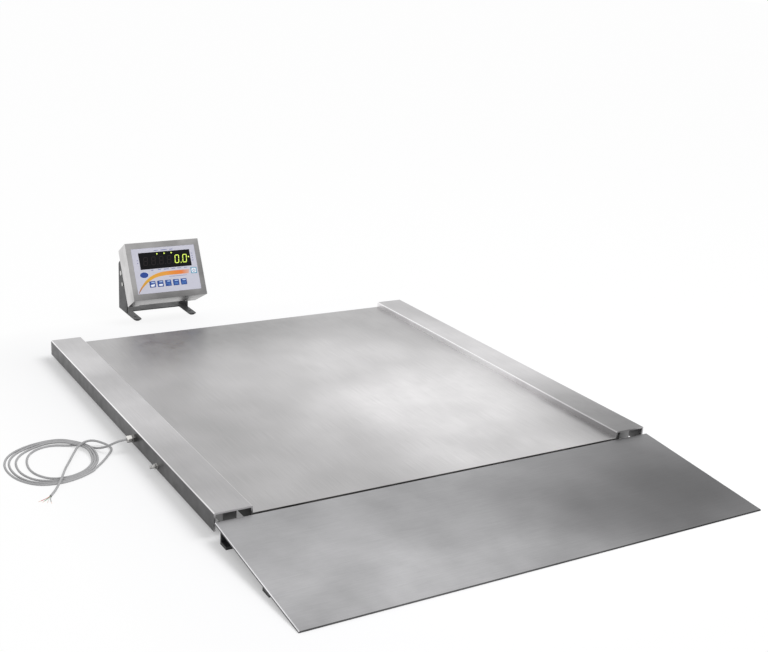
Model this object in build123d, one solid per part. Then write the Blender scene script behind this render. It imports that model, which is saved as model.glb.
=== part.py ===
"""Low-profile drive-on floor scale with an access ramp, a coiled signal cable and a separate display.

Millimetres. X runs across the drive lane, Y from the ramp towards the back, Z up.
The origin is the centre of the weighing platform, on the floor.
"""
from build123d import *
import math
import os

os.makedirs("parts", exist_ok=True)

# Weighing platform
platform_width = 1200.0
platform_length = 1225.0
beam_width = 90.0
beam_top = 56.0
deck_top = 40.0
skirt_clearance = 13.0
beam_sheet = 4.0
beam_fold_radius = 3.0
deck_thickness = 6.0
rib_width = 12.0
rib_clearance = 14.0
rib_count = 10
edge_bar_width = 12.0

# Load cells and their feet, one in each corner
cell_length = 130.0
cell_width = 32.0
cell_height = 32.0
cell_end_inset = 20.0
load_hole_inset = 16.0
cell_bolt_inset = 16.0
cell_bolt_pitch = 25.4
cell_bolt_radius = 6.0
cell_bolt_clearance = 0.4
cell_bolt_head_radius = 9.0
cell_bolt_head_height = 5.0
cell_pocket_radius = 11.0
cell_pocket_depth = 8.0
cell_block_height = 8.0
cell_block_width = 60.0
foot_radius = 23.0
foot_height = 8.0
foot_hex_height = 3.0
foot_hex_across = 24.0
foot_stem_radius = 6.0
foot_stem_top = 40.0
running_clearance = 0.05
locknut_across = 19.0

# Junction box in the left beam
junction_length = 130.0
junction_width = 60.0
junction_wall = 2.5
junction_lid_thickness = 3.0
junction_gasket_thickness = 1.0
junction_bottom = 23.0
junction_boss_radius = 4.0
junction_screw_radius = 1.5
junction_screw_head_radius = 3.0
junction_screw_head_height = 2.0
junction_board_thickness = 1.6
junction_board_drop = 4.0
terminal_height = 9.0
terminal_width = 10.0
terminal_length = 70.0
inlet_radius = 6.0
inlet_length = 9.0
inlet_pitch = 18.0
inlet_height = 37.0

# Cables inside the platform
cell_cable_diameter = 4.6
cell_cable_clearance = 0.3
cell_cable_ceiling = 4.5
conduit_radius = 7.0
conduit_bore_radius = 5.6
conduit_height = 24.0
saddle_length = 20.0
saddle_width = 24.0
saddle_count = 5
saddle_lip = 2.0
clip_width = 10.0
clip_length = 8.0
clip_lip = 4.0
clip_count = 3
cable_start_length = 18.0
cable_rise_length = 50.0
cable_lead_in = 50.0
crossing_start = 150.0

# Cable gland and earth stud on the left outer wall
gland_y = -118.0
gland_height = 33.0
gland_thread_radius = 7.6
gland_hole_clearance = 0.2
gland_hex_across = 18.0
gland_hex_length = 7.0
gland_neck_radius = 7.6
gland_neck_length = 2.5
gland_cap_across = 17.0
gland_cap_length = 12.0
gland_locknut_across = 17.0
gland_locknut_length = 3.0
earth_y = -271.0
earth_height = 22.0
earth_stud_radius = 4.0
earth_stud_reach = 18.0
earth_nut_across = 13.0
earth_nut_length = 6.5
earth_flange_radius = 8.0
earth_flange_length = 1.6
earth_relief_radius = 3.3
earth_relief_length = 1.0

# Signal cable lying on the floor
cable_diameter = 5.6
cable_floor_gap = 0.2
cable_bore_clearance = 0.25
coil_height = 12.0
core_diameter = 1.3
core_length = 30.0
core_fan = (-16.0, -6.0, 5.0, 15.0)

# Ramp
ramp_gap = 12.0
ramp_length = 397.0
ramp_overhang = 3.0
ramp_thickness = 5.0
ramp_rear_height = 41.0
ramp_toe_height = 4.0
ramp_edge_chamfer = 1.5
support_web = 5.0
support_flange = 25.0
support_inset = 4.0
support_rear_distance = 21.0
support_front_distance = 230.0
rubber_thickness = 3.0
locator_x = 400.0
locator_width = 40.0
locator_thickness = 5.0
locator_reach = 59.5
locator_pin_radius = 6.0
locator_pin_top = 24.0
socket_bottom = 16.0
socket_thickness = 5.0
socket_width = 60.0
socket_clearance = 0.75
notch_clearance = 5.0

# Display housing, in its own frame: X across, Y from the face to the back, Z up along the face
case_width = 250.0
case_rear_width = 234.0
case_height = 190.0
case_depth = 98.0
case_wall = 2.0
face_sheet = 2.5
case_corner_radius = 2.0
panel_side_margin = 17.0
panel_end_margin = 20.0
panel_recess = 1.2
panel_thickness = 0.8
window_x = 1.5
window_z = 32.5
window_side_margin = 20.5
window_height = 55.0
window_ledge = 3.5
window_boss = 2.0
fit_gap = 0.3
key_size = 20.0
key_first_x = -54.8
key_pitch = 26.7
key_count = 5
key_z = -46.0
power_key_inset = 15.0
power_key_z = -11.6
key_thickness = 2.0
key_proud = 0.3
key_travel = 0.4
key_corner_radius = 1.5
rim_y = 76.5
rim_thickness = 2.0
rim_width = 10.0
cover_gasket_thickness = 1.5
cover_thickness = 2.0
cover_screw_radius = 2.0
cover_screw_length = 9.0
cover_screw_head_radius = 3.6
cover_screw_head_height = 2.4
notch_side_margin = 35.0
notch_depth = 15.0
board_side_margin = 17.0
board_height = 130.0
board_y = 12.0
board_thickness = 1.6
standoff_radius = 3.0
digit_count = 6
digit_first_x = -65.4
digit_pitch = 26.8
digit_width = 19.0
digit_height = 32.0
digit_depth = 7.5
led_radius = 2.0
led_positions = ((-23.1, 53.5), (1.5, 53.5), (25.9, 53.5), (82.8, 35.3))
switch_size = 6.0
switch_body = 4.0
switch_stem_radius = 1.7
supply_size = (56.0, 38.0, 46.0)
supply_side_margin = 31.0
supply_z = 18.0
battery_size = (98.0, 44.0, 60.0)
battery_side_margin = 18.0
battery_z = 18.0
rear_gland_pitch = 45.0
rear_gland_z = -62.0
rear_gland_across = 18.0
rear_gland_length = 22.0
rear_gland_thread_radius = 6.0

# Bracket that carries the display, and its tilt joint
indicator_x = -150.0
bracket_gap = 254.0
tilt = 28.0
pivot_depth = 131.0
pivot_rise = -10.0
pivot_height = 98.0
bracket_sheet = 3.0
bracket_foot_height = 3.0
bracket_foot_radius = 8.0
bracket_front_reach = 105.0
bracket_rear_reach = 50.0
bracket_strap_depth = 60.0
bracket_leg_width = 25.0
bracket_hole_radius = 3.3
bracket_hole_front = 76.0
bracket_hole_rear = 20.0
bracket_foot_inset = 9.0
arm_outline = ((-28.0, None), (50.0, None), (50.0, 60.0), (19.0, 84.0), (6.0, 77.0), (-28.0, 40.0))
arm_corner_radius = 9.0
lug_inset = 17.0
lug_thickness = 4.0
lug_gap = 0.3
lug_outline = (
    (None, -24.0), (4.0, -16.0), (16.0, -6.0), (16.0, 8.0), (2.0, 48.0), (-24.0, 52.0), (None, 52.0),
)
pivot_bolt_radius = 4.0
pivot_head_across = 13.0
pivot_head_length = 5.3
clamp_offset = (-12.0, 35.0)
clamp_radius = 3.0
clamp_head_radius = 8.0
clamp_head_length = 8.4
clamp_slot_clearance = 0.6
tilt_back_limit = 14.0
clamp_slot_spare = 6.0

# Places that follow from the sizes above
half_width = platform_width / 2
half_length = platform_length / 2
lane_half = half_width - beam_width
beam_middle = half_width - beam_width / 2
beam_ceiling = beam_top - beam_sheet
deck_bottom = deck_top - deck_thickness
cell_top = beam_ceiling - cell_block_height
cell_bottom = cell_top - cell_height
cell_outer_y = half_length - cell_end_inset
cell_inner_y = cell_outer_y - cell_length
foot_y = cell_outer_y - load_hole_inset
cell_bolt_ys = [cell_inner_y + cell_bolt_inset + i * cell_bolt_pitch for i in range(2)]
left_wall = -half_width
left_inner = left_wall + beam_sheet
junction_right = left_inner + junction_width
junction_middle = left_inner + junction_width / 2
junction_front = gland_y - junction_length / 2
junction_rear = gland_y + junction_length / 2
cable_radius = cable_diameter / 2
cable_rise_end = cell_inner_y - cable_rise_length
gland_outside = gland_hex_length + gland_neck_length + gland_cap_length
mouth = Vector(left_wall - gland_outside, gland_y, gland_height)
ramp_rear_y = -half_length - ramp_gap
ramp_toe_y = ramp_rear_y - ramp_length
ramp_slope = math.atan2(ramp_rear_height - ramp_toe_height, ramp_length)
ramp_drop = ramp_thickness / math.cos(ramp_slope)
ramp_half = half_width + ramp_overhang
locator_y = -half_length - locator_reach + locator_pin_radius * 2
rear_half = case_rear_width / 2
panel_width = case_width - 2 * panel_side_margin
panel_height = case_height - 2 * panel_end_margin
window_width = panel_width - 2 * window_side_margin
power_key_x = panel_width / 2 - power_key_inset
notch_half_width = rear_half - notch_side_margin
board_width = case_rear_width - 2 * board_side_margin
supply_x = supply_size[0] / 2 + supply_side_margin - rear_half
battery_x = rear_half - battery_side_margin - battery_size[0] / 2
lug_inner_x = rear_half - lug_inset
pivot_y = half_length + bracket_gap + bracket_front_reach
bracket_half = lug_inner_x + lug_thickness + lug_gap + bracket_sheet
cover_y = rim_y + rim_thickness + cover_gasket_thickness
case_place = Pos(indicator_x, pivot_y, pivot_height) * Rot(-tilt, 0, 0) * Pos(0, -pivot_depth, -pivot_rise)
bracket_place = Pos(indicator_x, pivot_y, 0)


def block(x, y, z):
    """A box between two values along each axis."""
    spans = (x, y, z)
    return Pos(*[(low + high) / 2 for low, high in spans]) * Box(*[abs(high - low) for low, high in spans])


def about(middle, size):
    """The two ends of a span of this size about its middle."""
    return middle - size / 2, middle + size / 2


def rod(radius, start, end):
    """A round bar from one point to another."""
    start = Vector(*start)
    run = Vector(*end) - start
    base = (Align.CENTER, Align.CENTER, Align.MIN)
    return Plane(origin=start, z_dir=run) * Cylinder(radius, run.length, align=base)


def hexagon(across, start, end):
    """A six-sided bar from one point to another, measured across its flats."""
    start = Vector(*start)
    run = Vector(*end) - start
    profile = Plane(origin=start, z_dir=run) * RegularPolygon(across / 2, 6, major_radius=False)
    return extrude(profile, run.length, dir=run.normalized())


def rounded(solid, axis, radius):
    """The solid with its edges along one axis rounded."""
    return fillet(solid.edges().filter_by(axis), radius)


def between(start, end, share):
    """The value this share of the way from one to the other."""
    return start + (end - start) * share


def group(*shapes):
    """Separate solids that belong to one node."""
    return Compound([solid for shape in shapes for solid in shape.solids()])


def corners(shape):
    """The shape of one corner, repeated in all four corners of the platform."""
    pair = [shape, mirror(shape, about=Plane.YZ)]
    return pair + [mirror(item, about=Plane.XZ) for item in pair]


def smooth_radii(points):
    """For each corner of a route, 0.45 of its shorter run over the tangent of half its turn."""
    radii = []
    for before, here, after in zip(points, points[1:], points[2:]):
        turn = math.radians((here - before).get_angle(after - here))
        shorter = min((here - before).length, (after - here).length)
        radii.append(0.45 * shorter / math.tan(turn / 2))
    return radii


def tube(points, diameter, label=None):
    """A round cable along straight runs joined by tangent arcs."""
    points = [Vector(*point) for point in points]
    radii = smooth_radii(points)
    path = FilletPolyline(*points, radius=radii) if radii else Line(points[0], points[1])
    start = Plane(origin=points[0], z_dir=points[1] - points[0])
    solid = sweep(start * Circle(diameter / 2), path=path)
    if label:
        length = path.length
        ratio = solid.volume / (math.pi * diameter ** 2 / 4 * length)
        print(f"{label}: length {length:.1f}, volume over section times length {ratio:.4f}")
        print(f"{label}: radii", [round(radius, 1) for radius in radii])
    return solid


def write(name, shape):
    """One node, one file."""
    export_step(shape, f"parts/{name}.step")


def wall_hole(radius, x, y, z):
    """A cutter for a hole through a beam wall that faces sideways."""
    return rod(radius, (x - beam_sheet, y, z), (x + 2 * beam_sheet, y, z))


def side_beam(side):
    """A folded channel, open below and at both ends, that stands proud of the deck."""
    outer_x = side * half_width
    inner_x = side * lane_half
    x = sorted((outer_x, inner_x))
    y = about(0, platform_length)
    body = block(x, y, (skirt_clearance, beam_top))
    hollow_x = (x[0] + beam_sheet, x[1] - beam_sheet)
    body -= block(hollow_x, (y[0] - 1, y[1] + 1), (skirt_clearance - 1, beam_ceiling))
    top_edges = body.edges().filter_by(Axis.Y).group_by(Axis.Z)[-1]
    body = fillet(top_edges, beam_fold_radius)
    body -= wall_hole(conduit_bore_radius, min(inner_x, inner_x - side * beam_sheet), 0, conduit_height)
    if side < 0:
        body -= wall_hole(gland_thread_radius + gland_hole_clearance, left_wall, gland_y, gland_height)
        body -= wall_hole(earth_stud_radius + gland_hole_clearance, left_wall, earth_y, earth_height)
    return body


def deck_plate():
    """The flat lane that the load rolls onto."""
    plate = block((-lane_half, lane_half), about(0, platform_length), (deck_bottom, deck_top))
    ends = plate.edges().filter_by(Axis.X).group_by(Axis.Z)[-1]
    return chamfer(ends, 1.0)


def edge_bars():
    """The front and rear cross members under the deck's ends."""
    bars = []
    for side in (-1, 1):
        y = sorted((side * half_length, side * (half_length - edge_bar_width)))
        bars.append(block((-lane_half, lane_half), y, (rib_clearance, deck_bottom)))
    return group(*bars)


def deck_ribs():
    """Flat bars on edge across the lane, evenly spaced between the edge bars."""
    inner = half_length - edge_bar_width
    pitch = 2 * inner / (rib_count + 1)
    z = (rib_clearance, deck_bottom)
    return group(*[block((-lane_half, lane_half), about(-inner + (i + 1) * pitch, rib_width), z)
                   for i in range(rib_count)])


def load_cells():
    """Bending beams: bolted to the platform at the inner end, standing on a foot at the outer end."""
    z = (cell_bottom, cell_top)
    cell = rounded(block(about(beam_middle, cell_width), (cell_inner_y, cell_outer_y), z), Axis.Y, 1.5)
    middle_y = (cell_inner_y + cell_outer_y) / 2
    middle_z = (cell_bottom + cell_top) / 2
    for side in (-1, 1):
        face = beam_middle + side * cell_width / 2
        cell -= rod(cell_pocket_radius, (face, middle_y, middle_z),
                    (face - side * cell_pocket_depth, middle_y, middle_z))
    for y in cell_bolt_ys:
        cell -= rod(cell_bolt_radius + cell_bolt_clearance, (beam_middle, y, cell_bottom - 1),
                    (beam_middle, y, cell_top + 1))
    cell -= rod(foot_stem_radius + running_clearance, (beam_middle, foot_y, cell_bottom - 1),
                (beam_middle, foot_y, cell_top + 1))
    return group(*corners(cell))


def cell_blocks():
    """Blocks welded under the beam's top, into which the load-cell bolts are threaded."""
    y = (cell_inner_y - 2, cell_bolt_ys[-1] + cell_bolt_inset)
    pad = block(about(beam_middle, cell_block_width), y, (cell_top, beam_ceiling))
    for bolt_y in cell_bolt_ys:
        pad -= rod(cell_bolt_radius + running_clearance, (beam_middle, bolt_y, cell_top - 1),
                   (beam_middle, bolt_y, beam_ceiling + 1))
    return group(*corners(pad))


def load_cell_bolts():
    """Low-head socket bolts from below, two to a cell."""
    bolts = []
    for y in cell_bolt_ys:
        head_bottom = cell_bottom - cell_bolt_head_height
        bolt = rod(cell_bolt_head_radius, (beam_middle, y, head_bottom), (beam_middle, y, cell_bottom))
        bolt += rod(cell_bolt_radius, (beam_middle, y, cell_bottom), (beam_middle, y, beam_ceiling - 0.5))
        bolt -= hexagon(cell_bolt_radius, (beam_middle, y, head_bottom),
                        (beam_middle, y, head_bottom + cell_bolt_head_height - 1.5))
        bolts += corners(bolt)
    return group(*bolts)


def foot(side_x, side_y):
    """A screw-in foot: a round pad with a hexagon for the spanner, and its threaded stem."""
    x = side_x * beam_middle
    y = side_y * foot_y
    pad_top = foot_height - foot_hex_height
    pad = rod(foot_radius, (x, y, 0), (x, y, pad_top))
    pad = chamfer(pad.edges().filter_by(GeomType.CIRCLE), 1.0)
    pad += hexagon(foot_hex_across, (x, y, pad_top), (x, y, foot_height))
    return pad + rod(foot_stem_radius, (x, y, foot_height), (x, y, foot_stem_top))


def foot_locknuts():
    """Thin nuts that lock the stems against the load cells; the feet bear on them."""
    nut = hexagon(locknut_across, (beam_middle, foot_y, foot_height), (beam_middle, foot_y, cell_bottom))
    nut -= rod(foot_stem_radius + running_clearance, (beam_middle, foot_y, foot_height - 1),
               (beam_middle, foot_y, cell_bottom + 1))
    return group(*corners(nut))


def junction_corners(inset):
    """The four places in plan that lie this far in from the junction box's corners."""
    return [(x, y) for x in (left_inner + inset, junction_right - inset)
            for y in (junction_front + inset, junction_rear - inset)]


def inlet_places():
    """Cable inlets of the junction box as x and outward side: three behind, one in front."""
    rear = [(junction_middle + (i - 1) * inlet_pitch, 1) for i in range(3)]
    return rear + [(junction_middle, -1)]


def junction_box():
    """A box without a bottom, bolted under the beam's top beside its outer wall."""
    x = (left_inner, junction_right)
    y = (junction_front, junction_rear)
    box = block(x, y, (junction_bottom, beam_ceiling))
    box -= block((x[0] + junction_wall, x[1] - junction_wall), (y[0] + junction_wall, y[1] - junction_wall),
                 (junction_bottom - 1, beam_ceiling - junction_wall))
    for px, py in junction_corners(junction_wall + junction_boss_radius / 2):
        box += rod(junction_boss_radius, (px, py, junction_bottom), (px, py, beam_ceiling - 1))
    box &= block(x, y, (junction_bottom, beam_ceiling))
    for px, py in junction_corners(junction_wall + junction_boss_radius / 2):
        box -= rod(junction_screw_radius + running_clearance, (px, py, junction_bottom - 1),
                   (px, py, beam_ceiling - 8))
    box -= rod(gland_thread_radius + gland_hole_clearance, (x[0] - 1, gland_y, gland_height),
               (x[0] + 2 * junction_wall, gland_y, gland_height))
    for px, side in inlet_places():
        wall_y = junction_rear if side > 0 else junction_front
        box -= rod(cell_cable_diameter / 2 + cell_cable_clearance,
                   (px, wall_y - 2 * junction_wall, inlet_height),
                   (px, wall_y + 2 * junction_wall, inlet_height))
    return box


def junction_plate(low, high, hole_radius):
    """A plate of the junction box's outline with holes for its four screws."""
    plate = block((left_inner, junction_right), (junction_front, junction_rear), (low, high))
    for px, py in junction_corners(junction_wall + junction_boss_radius / 2):
        plate -= rod(hole_radius, (px, py, low - 1), (px, py, high + 1))
    return plate


def junction_gasket():
    """A rubber frame between the box and its lid."""
    low = junction_bottom - junction_gasket_thickness
    frame = junction_plate(low, junction_bottom, junction_screw_radius + cell_bolt_clearance)
    inset = junction_wall + 2 * junction_boss_radius
    return frame - block((left_inner + inset, junction_right - inset),
                         (junction_front + inset, junction_rear - inset), (low - 1, junction_bottom + 1))


def junction_lid():
    """The lid on the underside."""
    high = junction_bottom - junction_gasket_thickness
    return junction_plate(high - junction_lid_thickness, high, junction_screw_radius + cell_bolt_clearance)


def junction_screws():
    """Four screws up through the lid into the corner bosses."""
    lid_bottom = junction_bottom - junction_gasket_thickness - junction_lid_thickness
    screws = []
    for px, py in junction_corners(junction_wall + junction_boss_radius / 2):
        head_bottom = lid_bottom - junction_screw_head_height
        screw = rod(junction_screw_head_radius, (px, py, head_bottom), (px, py, lid_bottom))
        screws.append(screw + rod(junction_screw_radius, (px, py, lid_bottom), (px, py, beam_ceiling - 10)))
    return group(*screws)


def junction_board():
    """The summing board, hung from the box's ceiling on short posts, with two rows of terminals."""
    ceiling = beam_ceiling - junction_wall
    top = ceiling - junction_board_drop
    inset = 2 * junction_wall + junction_boss_radius
    x = (left_inner + inset, junction_right - inset)
    y = (junction_front + inset, junction_rear - inset)
    board = block(x, y, (top - junction_board_thickness, top))
    for px in (x[0] + 5, x[1] - 5):
        for py in (y[0] + 5, y[1] - 5):
            board += rod(standoff_radius, (px, py, top), (px, py, ceiling))
    return board


def terminal_blocks():
    """Two rows of screw terminals under the summing board."""
    high = beam_ceiling - junction_wall - junction_board_drop - junction_board_thickness
    inset = 2 * junction_wall + junction_boss_radius + terminal_width / 2
    rows = []
    for x in (left_inner + inset, junction_right - inset):
        row = block(about(x, terminal_width), about(gland_y, terminal_length),
                    (high - terminal_height, high))
        row = chamfer(row.edges().filter_by(Axis.Y).group_by(Axis.Z)[0], 2.0)
        rows.append(row)
    return group(*rows)


def junction_glands():
    """Small hexagonal inlets where the load-cell cables enter the box."""
    glands = []
    for x, side in inlet_places():
        wall_y = junction_rear if side > 0 else junction_front
        tip = wall_y + side * inlet_length
        gland = hexagon(2 * inlet_radius, (x, wall_y, inlet_height), (x, tip - side * 3, inlet_height))
        gland += rod(inlet_radius - 1, (x, tip - side * 3, inlet_height), (x, tip, inlet_height))
        gland -= rod(cell_cable_diameter / 2 + cell_cable_clearance, (x, wall_y - side, inlet_height),
                     (x, tip + side, inlet_height))
        glands.append(gland)
    return group(*glands)


def clip_places():
    """Where clips hold the load-cell cables up under the beams' tops, as x and y."""
    ys = [between(crossing_start, cable_rise_end, (i + 1) / (clip_count + 1)) for i in range(clip_count)]
    front_start = junction_front - inlet_length - 2 * cable_lead_in
    near = [(-beam_middle, y) for y in [between(front_start, -cable_rise_end, 0.5)] + ys]
    far = [(beam_middle, side * y) for side in (-1, 1) for y in ys]
    return near + far


def cell_cables():
    """Four load-cell cables to the junction box, and the inner end of the signal cable."""
    high = beam_ceiling - cell_cable_ceiling
    middle = (cell_bottom + cell_top) / 2
    start = cell_inner_y
    spare = cell_cable_diameter / 2 + 0.2
    inside = 6.0
    rear_tip = junction_rear + inlet_length
    front_tip = junction_front - inlet_length
    xs = [x for x, side in inlet_places()]
    front_left = [(-beam_middle, -start, middle), (-beam_middle, -start + cable_start_length, middle),
                  (-beam_middle, -cable_rise_end, high),
                  (-beam_middle, front_tip - 2 * cable_lead_in, high),
                  (xs[3], front_tip - cable_lead_in, inlet_height),
                  (xs[3], front_tip + inlet_length + inside, inlet_height)]
    rear_left = [(-beam_middle, start, middle), (-beam_middle, start - cable_start_length, middle),
                 (-beam_middle, cable_rise_end, high), (-beam_middle, crossing_start, high),
                 (xs[2] + 6, crossing_start * 0.6, high - 2), (xs[2], crossing_start * 0.27, inlet_height),
                 (xs[2], rear_tip - inlet_length - inside, inlet_height)]
    routes = [front_left, rear_left]
    bend_x = lane_half + 3 * beam_sheet
    turn_x = -bend_x
    for side, inlet_x in ((-1, xs[0]), (1, xs[1])):
        lane_y = side * spare
        routes.append([(beam_middle, side * start, middle),
                       (beam_middle, side * (start - cable_start_length), middle),
                       (beam_middle, side * cable_rise_end, high),
                       (beam_middle, side * crossing_start, high),
                       (between(beam_middle, bend_x, 0.24), side * crossing_start * 0.47,
                        between(high, conduit_height, 0.4)),
                       (between(beam_middle, bend_x, 0.55), side * crossing_start * 0.17,
                        between(high, conduit_height, 0.87)),
                       (bend_x, lane_y, conduit_height),
                       (0, lane_y + side * 0.05, conduit_height),
                       (turn_x, lane_y, conduit_height),
                       (turn_x - 14, lane_y - 3, conduit_height + 2),
                       (inlet_x, -18.0 + lane_y, inlet_height - 2),
                       (inlet_x, rear_tip + 6, inlet_height),
                       (inlet_x, rear_tip - inlet_length - inside, inlet_height + 0.1)])
    cables = [tube(route, cell_cable_diameter) for route in routes]
    inner_end = left_inner + junction_wall + gland_locknut_length + 2
    cables.append(rod(cable_radius, mouth, (inner_end, gland_y, gland_height)))
    return group(*cables)


def cross_conduit():
    """The tube that takes the right-hand cables across under the deck."""
    start = (-lane_half, 0, conduit_height)
    end = (lane_half, 0, conduit_height)
    return rod(conduit_radius, start, end) - rod(conduit_bore_radius, start, end)


def cable_clips():
    """Saddles that hang the conduit from the deck, and clips for the cables in the beams."""
    clips = []
    pitch = 2 * lane_half / saddle_count
    for i in range(saddle_count):
        x = about(-lane_half + (i + 0.5) * pitch, saddle_length)
        saddle = block(x, about(0, saddle_width),
                       (conduit_height - conduit_radius - saddle_lip, deck_bottom))
        clips.append(saddle - rod(conduit_radius + running_clearance, (x[0] - 1, 0, conduit_height),
                                  (x[1] + 1, 0, conduit_height)))
    height = beam_ceiling - cell_cable_ceiling
    for x, y in clip_places():
        clip = block(about(x, clip_width), about(y, clip_length), (height - clip_lip, beam_ceiling))
        clips.append(clip - rod(cell_cable_diameter / 2 + running_clearance, (x, y - clip_length, height),
                                (x, y + clip_length, height)))
    return group(*clips)


def cable_bore(start_x, end_x):
    """A cutter for the signal cable's way through the gland."""
    return rod(cable_radius + cable_bore_clearance, (start_x, gland_y, gland_height),
               (end_x, gland_y, gland_height))


def cable_gland():
    """The gland's body through the beam wall and the junction box, with its nut inside the box."""
    def at(x):
        return x, gland_y, gland_height
    hex_end = left_wall - gland_hex_length
    thread_end = left_inner + junction_wall + gland_locknut_length + 1.5
    body = chamfer(hexagon(gland_hex_across, at(left_wall), at(hex_end)).edges().group_by(Axis.X)[0], 0.6)
    body += rod(gland_neck_radius, at(hex_end), at(hex_end - gland_neck_length))
    body += rod(gland_thread_radius, at(left_wall), at(thread_end))
    body -= cable_bore(mouth.X, thread_end + 1)
    nut_start = left_inner + junction_wall
    nut = hexagon(gland_locknut_across, at(nut_start), at(nut_start + gland_locknut_length))
    nut -= rod(gland_thread_radius + running_clearance, at(nut_start - 1), at(thread_end + 1))
    return group(body, nut)


def gland_cap():
    """The domed nut that closes the gland on the cable."""
    start = left_wall - gland_hex_length - gland_neck_length
    cap = hexagon(gland_cap_across, (start, gland_y, gland_height), (mouth.X, gland_y, gland_height))
    dome = rod(gland_cap_across / 2 + 0.6, (start, gland_y, gland_height), (mouth.X, gland_y, gland_height))
    dome = fillet(dome.edges().filter_by(GeomType.CIRCLE).group_by(Axis.X)[0], 4.0)
    return (cap & dome) - cable_bore(mouth.X - 1, start + 1)


def earth_stud():
    """A threaded stud through the beam wall, welded inside on a round head, with a relief past its nut."""
    def at(x):
        return x, earth_y, earth_height
    nut_end = left_wall - earth_nut_length
    relief_end = nut_end - earth_relief_length
    free_end = rod(earth_stud_radius, at(relief_end), at(left_wall - earth_stud_reach))
    free_end = chamfer(free_end.edges().filter_by(GeomType.CIRCLE).group_by(Axis.X)[0], 0.7)
    shank = rod(earth_stud_radius, at(left_inner), at(nut_end))
    head = rod(earth_flange_radius, at(left_inner), at(left_inner + beam_sheet - 1))
    return head + shank + rod(earth_relief_radius, at(nut_end), at(relief_end)) + free_end


def earth_nut():
    """A flanged nut run up against the wall."""
    def at(x):
        return x, earth_y, earth_height
    flange_end = left_wall - earth_flange_length
    nut = rod(earth_flange_radius, at(left_wall), at(flange_end))
    nut += hexagon(earth_nut_across, at(flange_end), at(left_wall - earth_nut_length))
    return nut - rod(earth_stud_radius + running_clearance, at(left_inner),
                     at(left_wall - earth_nut_length - 1))


# The signal cable's route on the floor, from the gland's mouth
lead_route = (
    (0.0, 0.0, 0.0), (-14.0, 0.0, 0.0), (-30.0, 4.0, -6.0), (-46.0, 16.0, -18.0),
    (-60.0, 35.0, -27.0), (-73.0, 56.0, -30.0), (-87.4, 75.0, -30.0),
)
tail_route = (
    (-118.0, -82.0, -30.0), (-97.0, -66.0, -30.0), (-73.0, -40.0, -30.0), (-49.0, -8.0, -30.0),
    (-29.0, 21.0, -30.0), (-28.5, 43.0, -29.0), (-41.0, 61.0, -25.5), (-61.0, 68.0, -18.0),
    (-83.0, 62.0, -15.0), (-106.0, 45.0, -15.6), (-126.0, 20.0, -25.0), (-143.0, -6.0, -30.0),
    (-159.0, -36.0, -25.0), (-172.0, -66.0, -15.0), (-185.0, -95.0, -14.6), (-199.0, -122.0, -15.6),
    (-213.0, -144.0, -25.0), (-225.0, -159.0, -29.6), (-233.0, -169.0, -30.0),
)
coil_outer = (
    (-88.0, 90.0), (-130.0, 130.0), (-190.0, 134.0), (-250.0, 112.0), (-288.0, 62.0), (-297.0, 0.0),
    (-285.0, -62.0), (-250.0, -110.0), (-200.0, -122.0), (-140.0, -104.0), (-92.0, -62.0), (-68.0, 0.0),
    (-68.0, 52.0),
)
coil_inner = (
    (-110.0, 70.0), (-140.0, 98.0), (-172.0, 100.0), (-204.0, 84.0), (-222.0, 50.0), (-232.0, 0.0),
    (-226.0, -46.0), (-204.0, -78.0), (-170.0, -84.0), (-136.0, -70.0), (-108.0, -38.0), (-94.0, 4.0),
    (-94.0, 42.0),
)


def from_mouth(route):
    """A route's points in the object's own frame."""
    return [mouth + Vector(*point) for point in route]


def cable_coil():
    """The outer shape of the loose turns that lie on the floor."""
    def outline(points):
        spots = [Vector(mouth.X + x, mouth.Y + y, cable_floor_gap) for x, y in points]
        return Spline(*spots, periodic=True)
    ring = make_face(outline(coil_outer)) - make_face(outline(coil_inner))
    return extrude(ring, coil_height - cable_floor_gap, dir=(0, 0, 1))


def cable_cores():
    """The bare cores that fan out of the cable's stripped end."""
    end, before = from_mouth(tail_route)[-1], from_mouth(tail_route)[-2]
    run = Vector(end.X - before.X, end.Y - before.Y, 0).normalized()
    side = Vector(-run.Y, run.X, 0)
    floor = Vector(0, 0, core_diameter / 2 + cable_floor_gap - end.Z)
    cores = []
    for i, fan in enumerate(core_fan):
        root = end + side * (core_diameter * 1.05 * (i - (len(core_fan) - 1) / 2)) + floor / 2
        far = end + run * core_length + side * fan + floor
        bend = root + run * (core_length * 0.35)
        cores.append(tube([root, bend, far], core_diameter))
    return group(*cores)


def ramp_top(y):
    """Height of the ramp's upper face."""
    return ramp_toe_height + (y - ramp_toe_y) * math.tan(ramp_slope)


def ramp_plate():
    """The sloping plate, ground flat at its toe and chamfered along its sides."""
    heel = ramp_toe_y + (ramp_drop - ramp_toe_height) / math.tan(ramp_slope)
    outline = [(ramp_rear_y, ramp_rear_height), (ramp_toe_y, ramp_toe_height), (ramp_toe_y, 0),
               (heel, 0), (ramp_rear_y, ramp_rear_height - ramp_drop)]
    profile = make_face(Polyline(*[(0, y, z) for y, z in outline], close=True))
    plate = extrude(profile, ramp_half, dir=(1, 0, 0)) + extrude(profile, ramp_half, dir=(-1, 0, 0))
    slope = Vector(0, math.cos(ramp_slope), math.sin(ramp_slope))
    sides = [edge for edge in plate.edges() if edge.length > ramp_length * 0.98
             and abs(abs((edge @ 1 - edge @ 0).normalized().dot(slope)) - 1) < 1e-6
             and max((edge @ 0).Z, (edge @ 1).Z) > ramp_rear_height - 1]
    return chamfer(sides, ramp_edge_chamfer)


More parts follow.
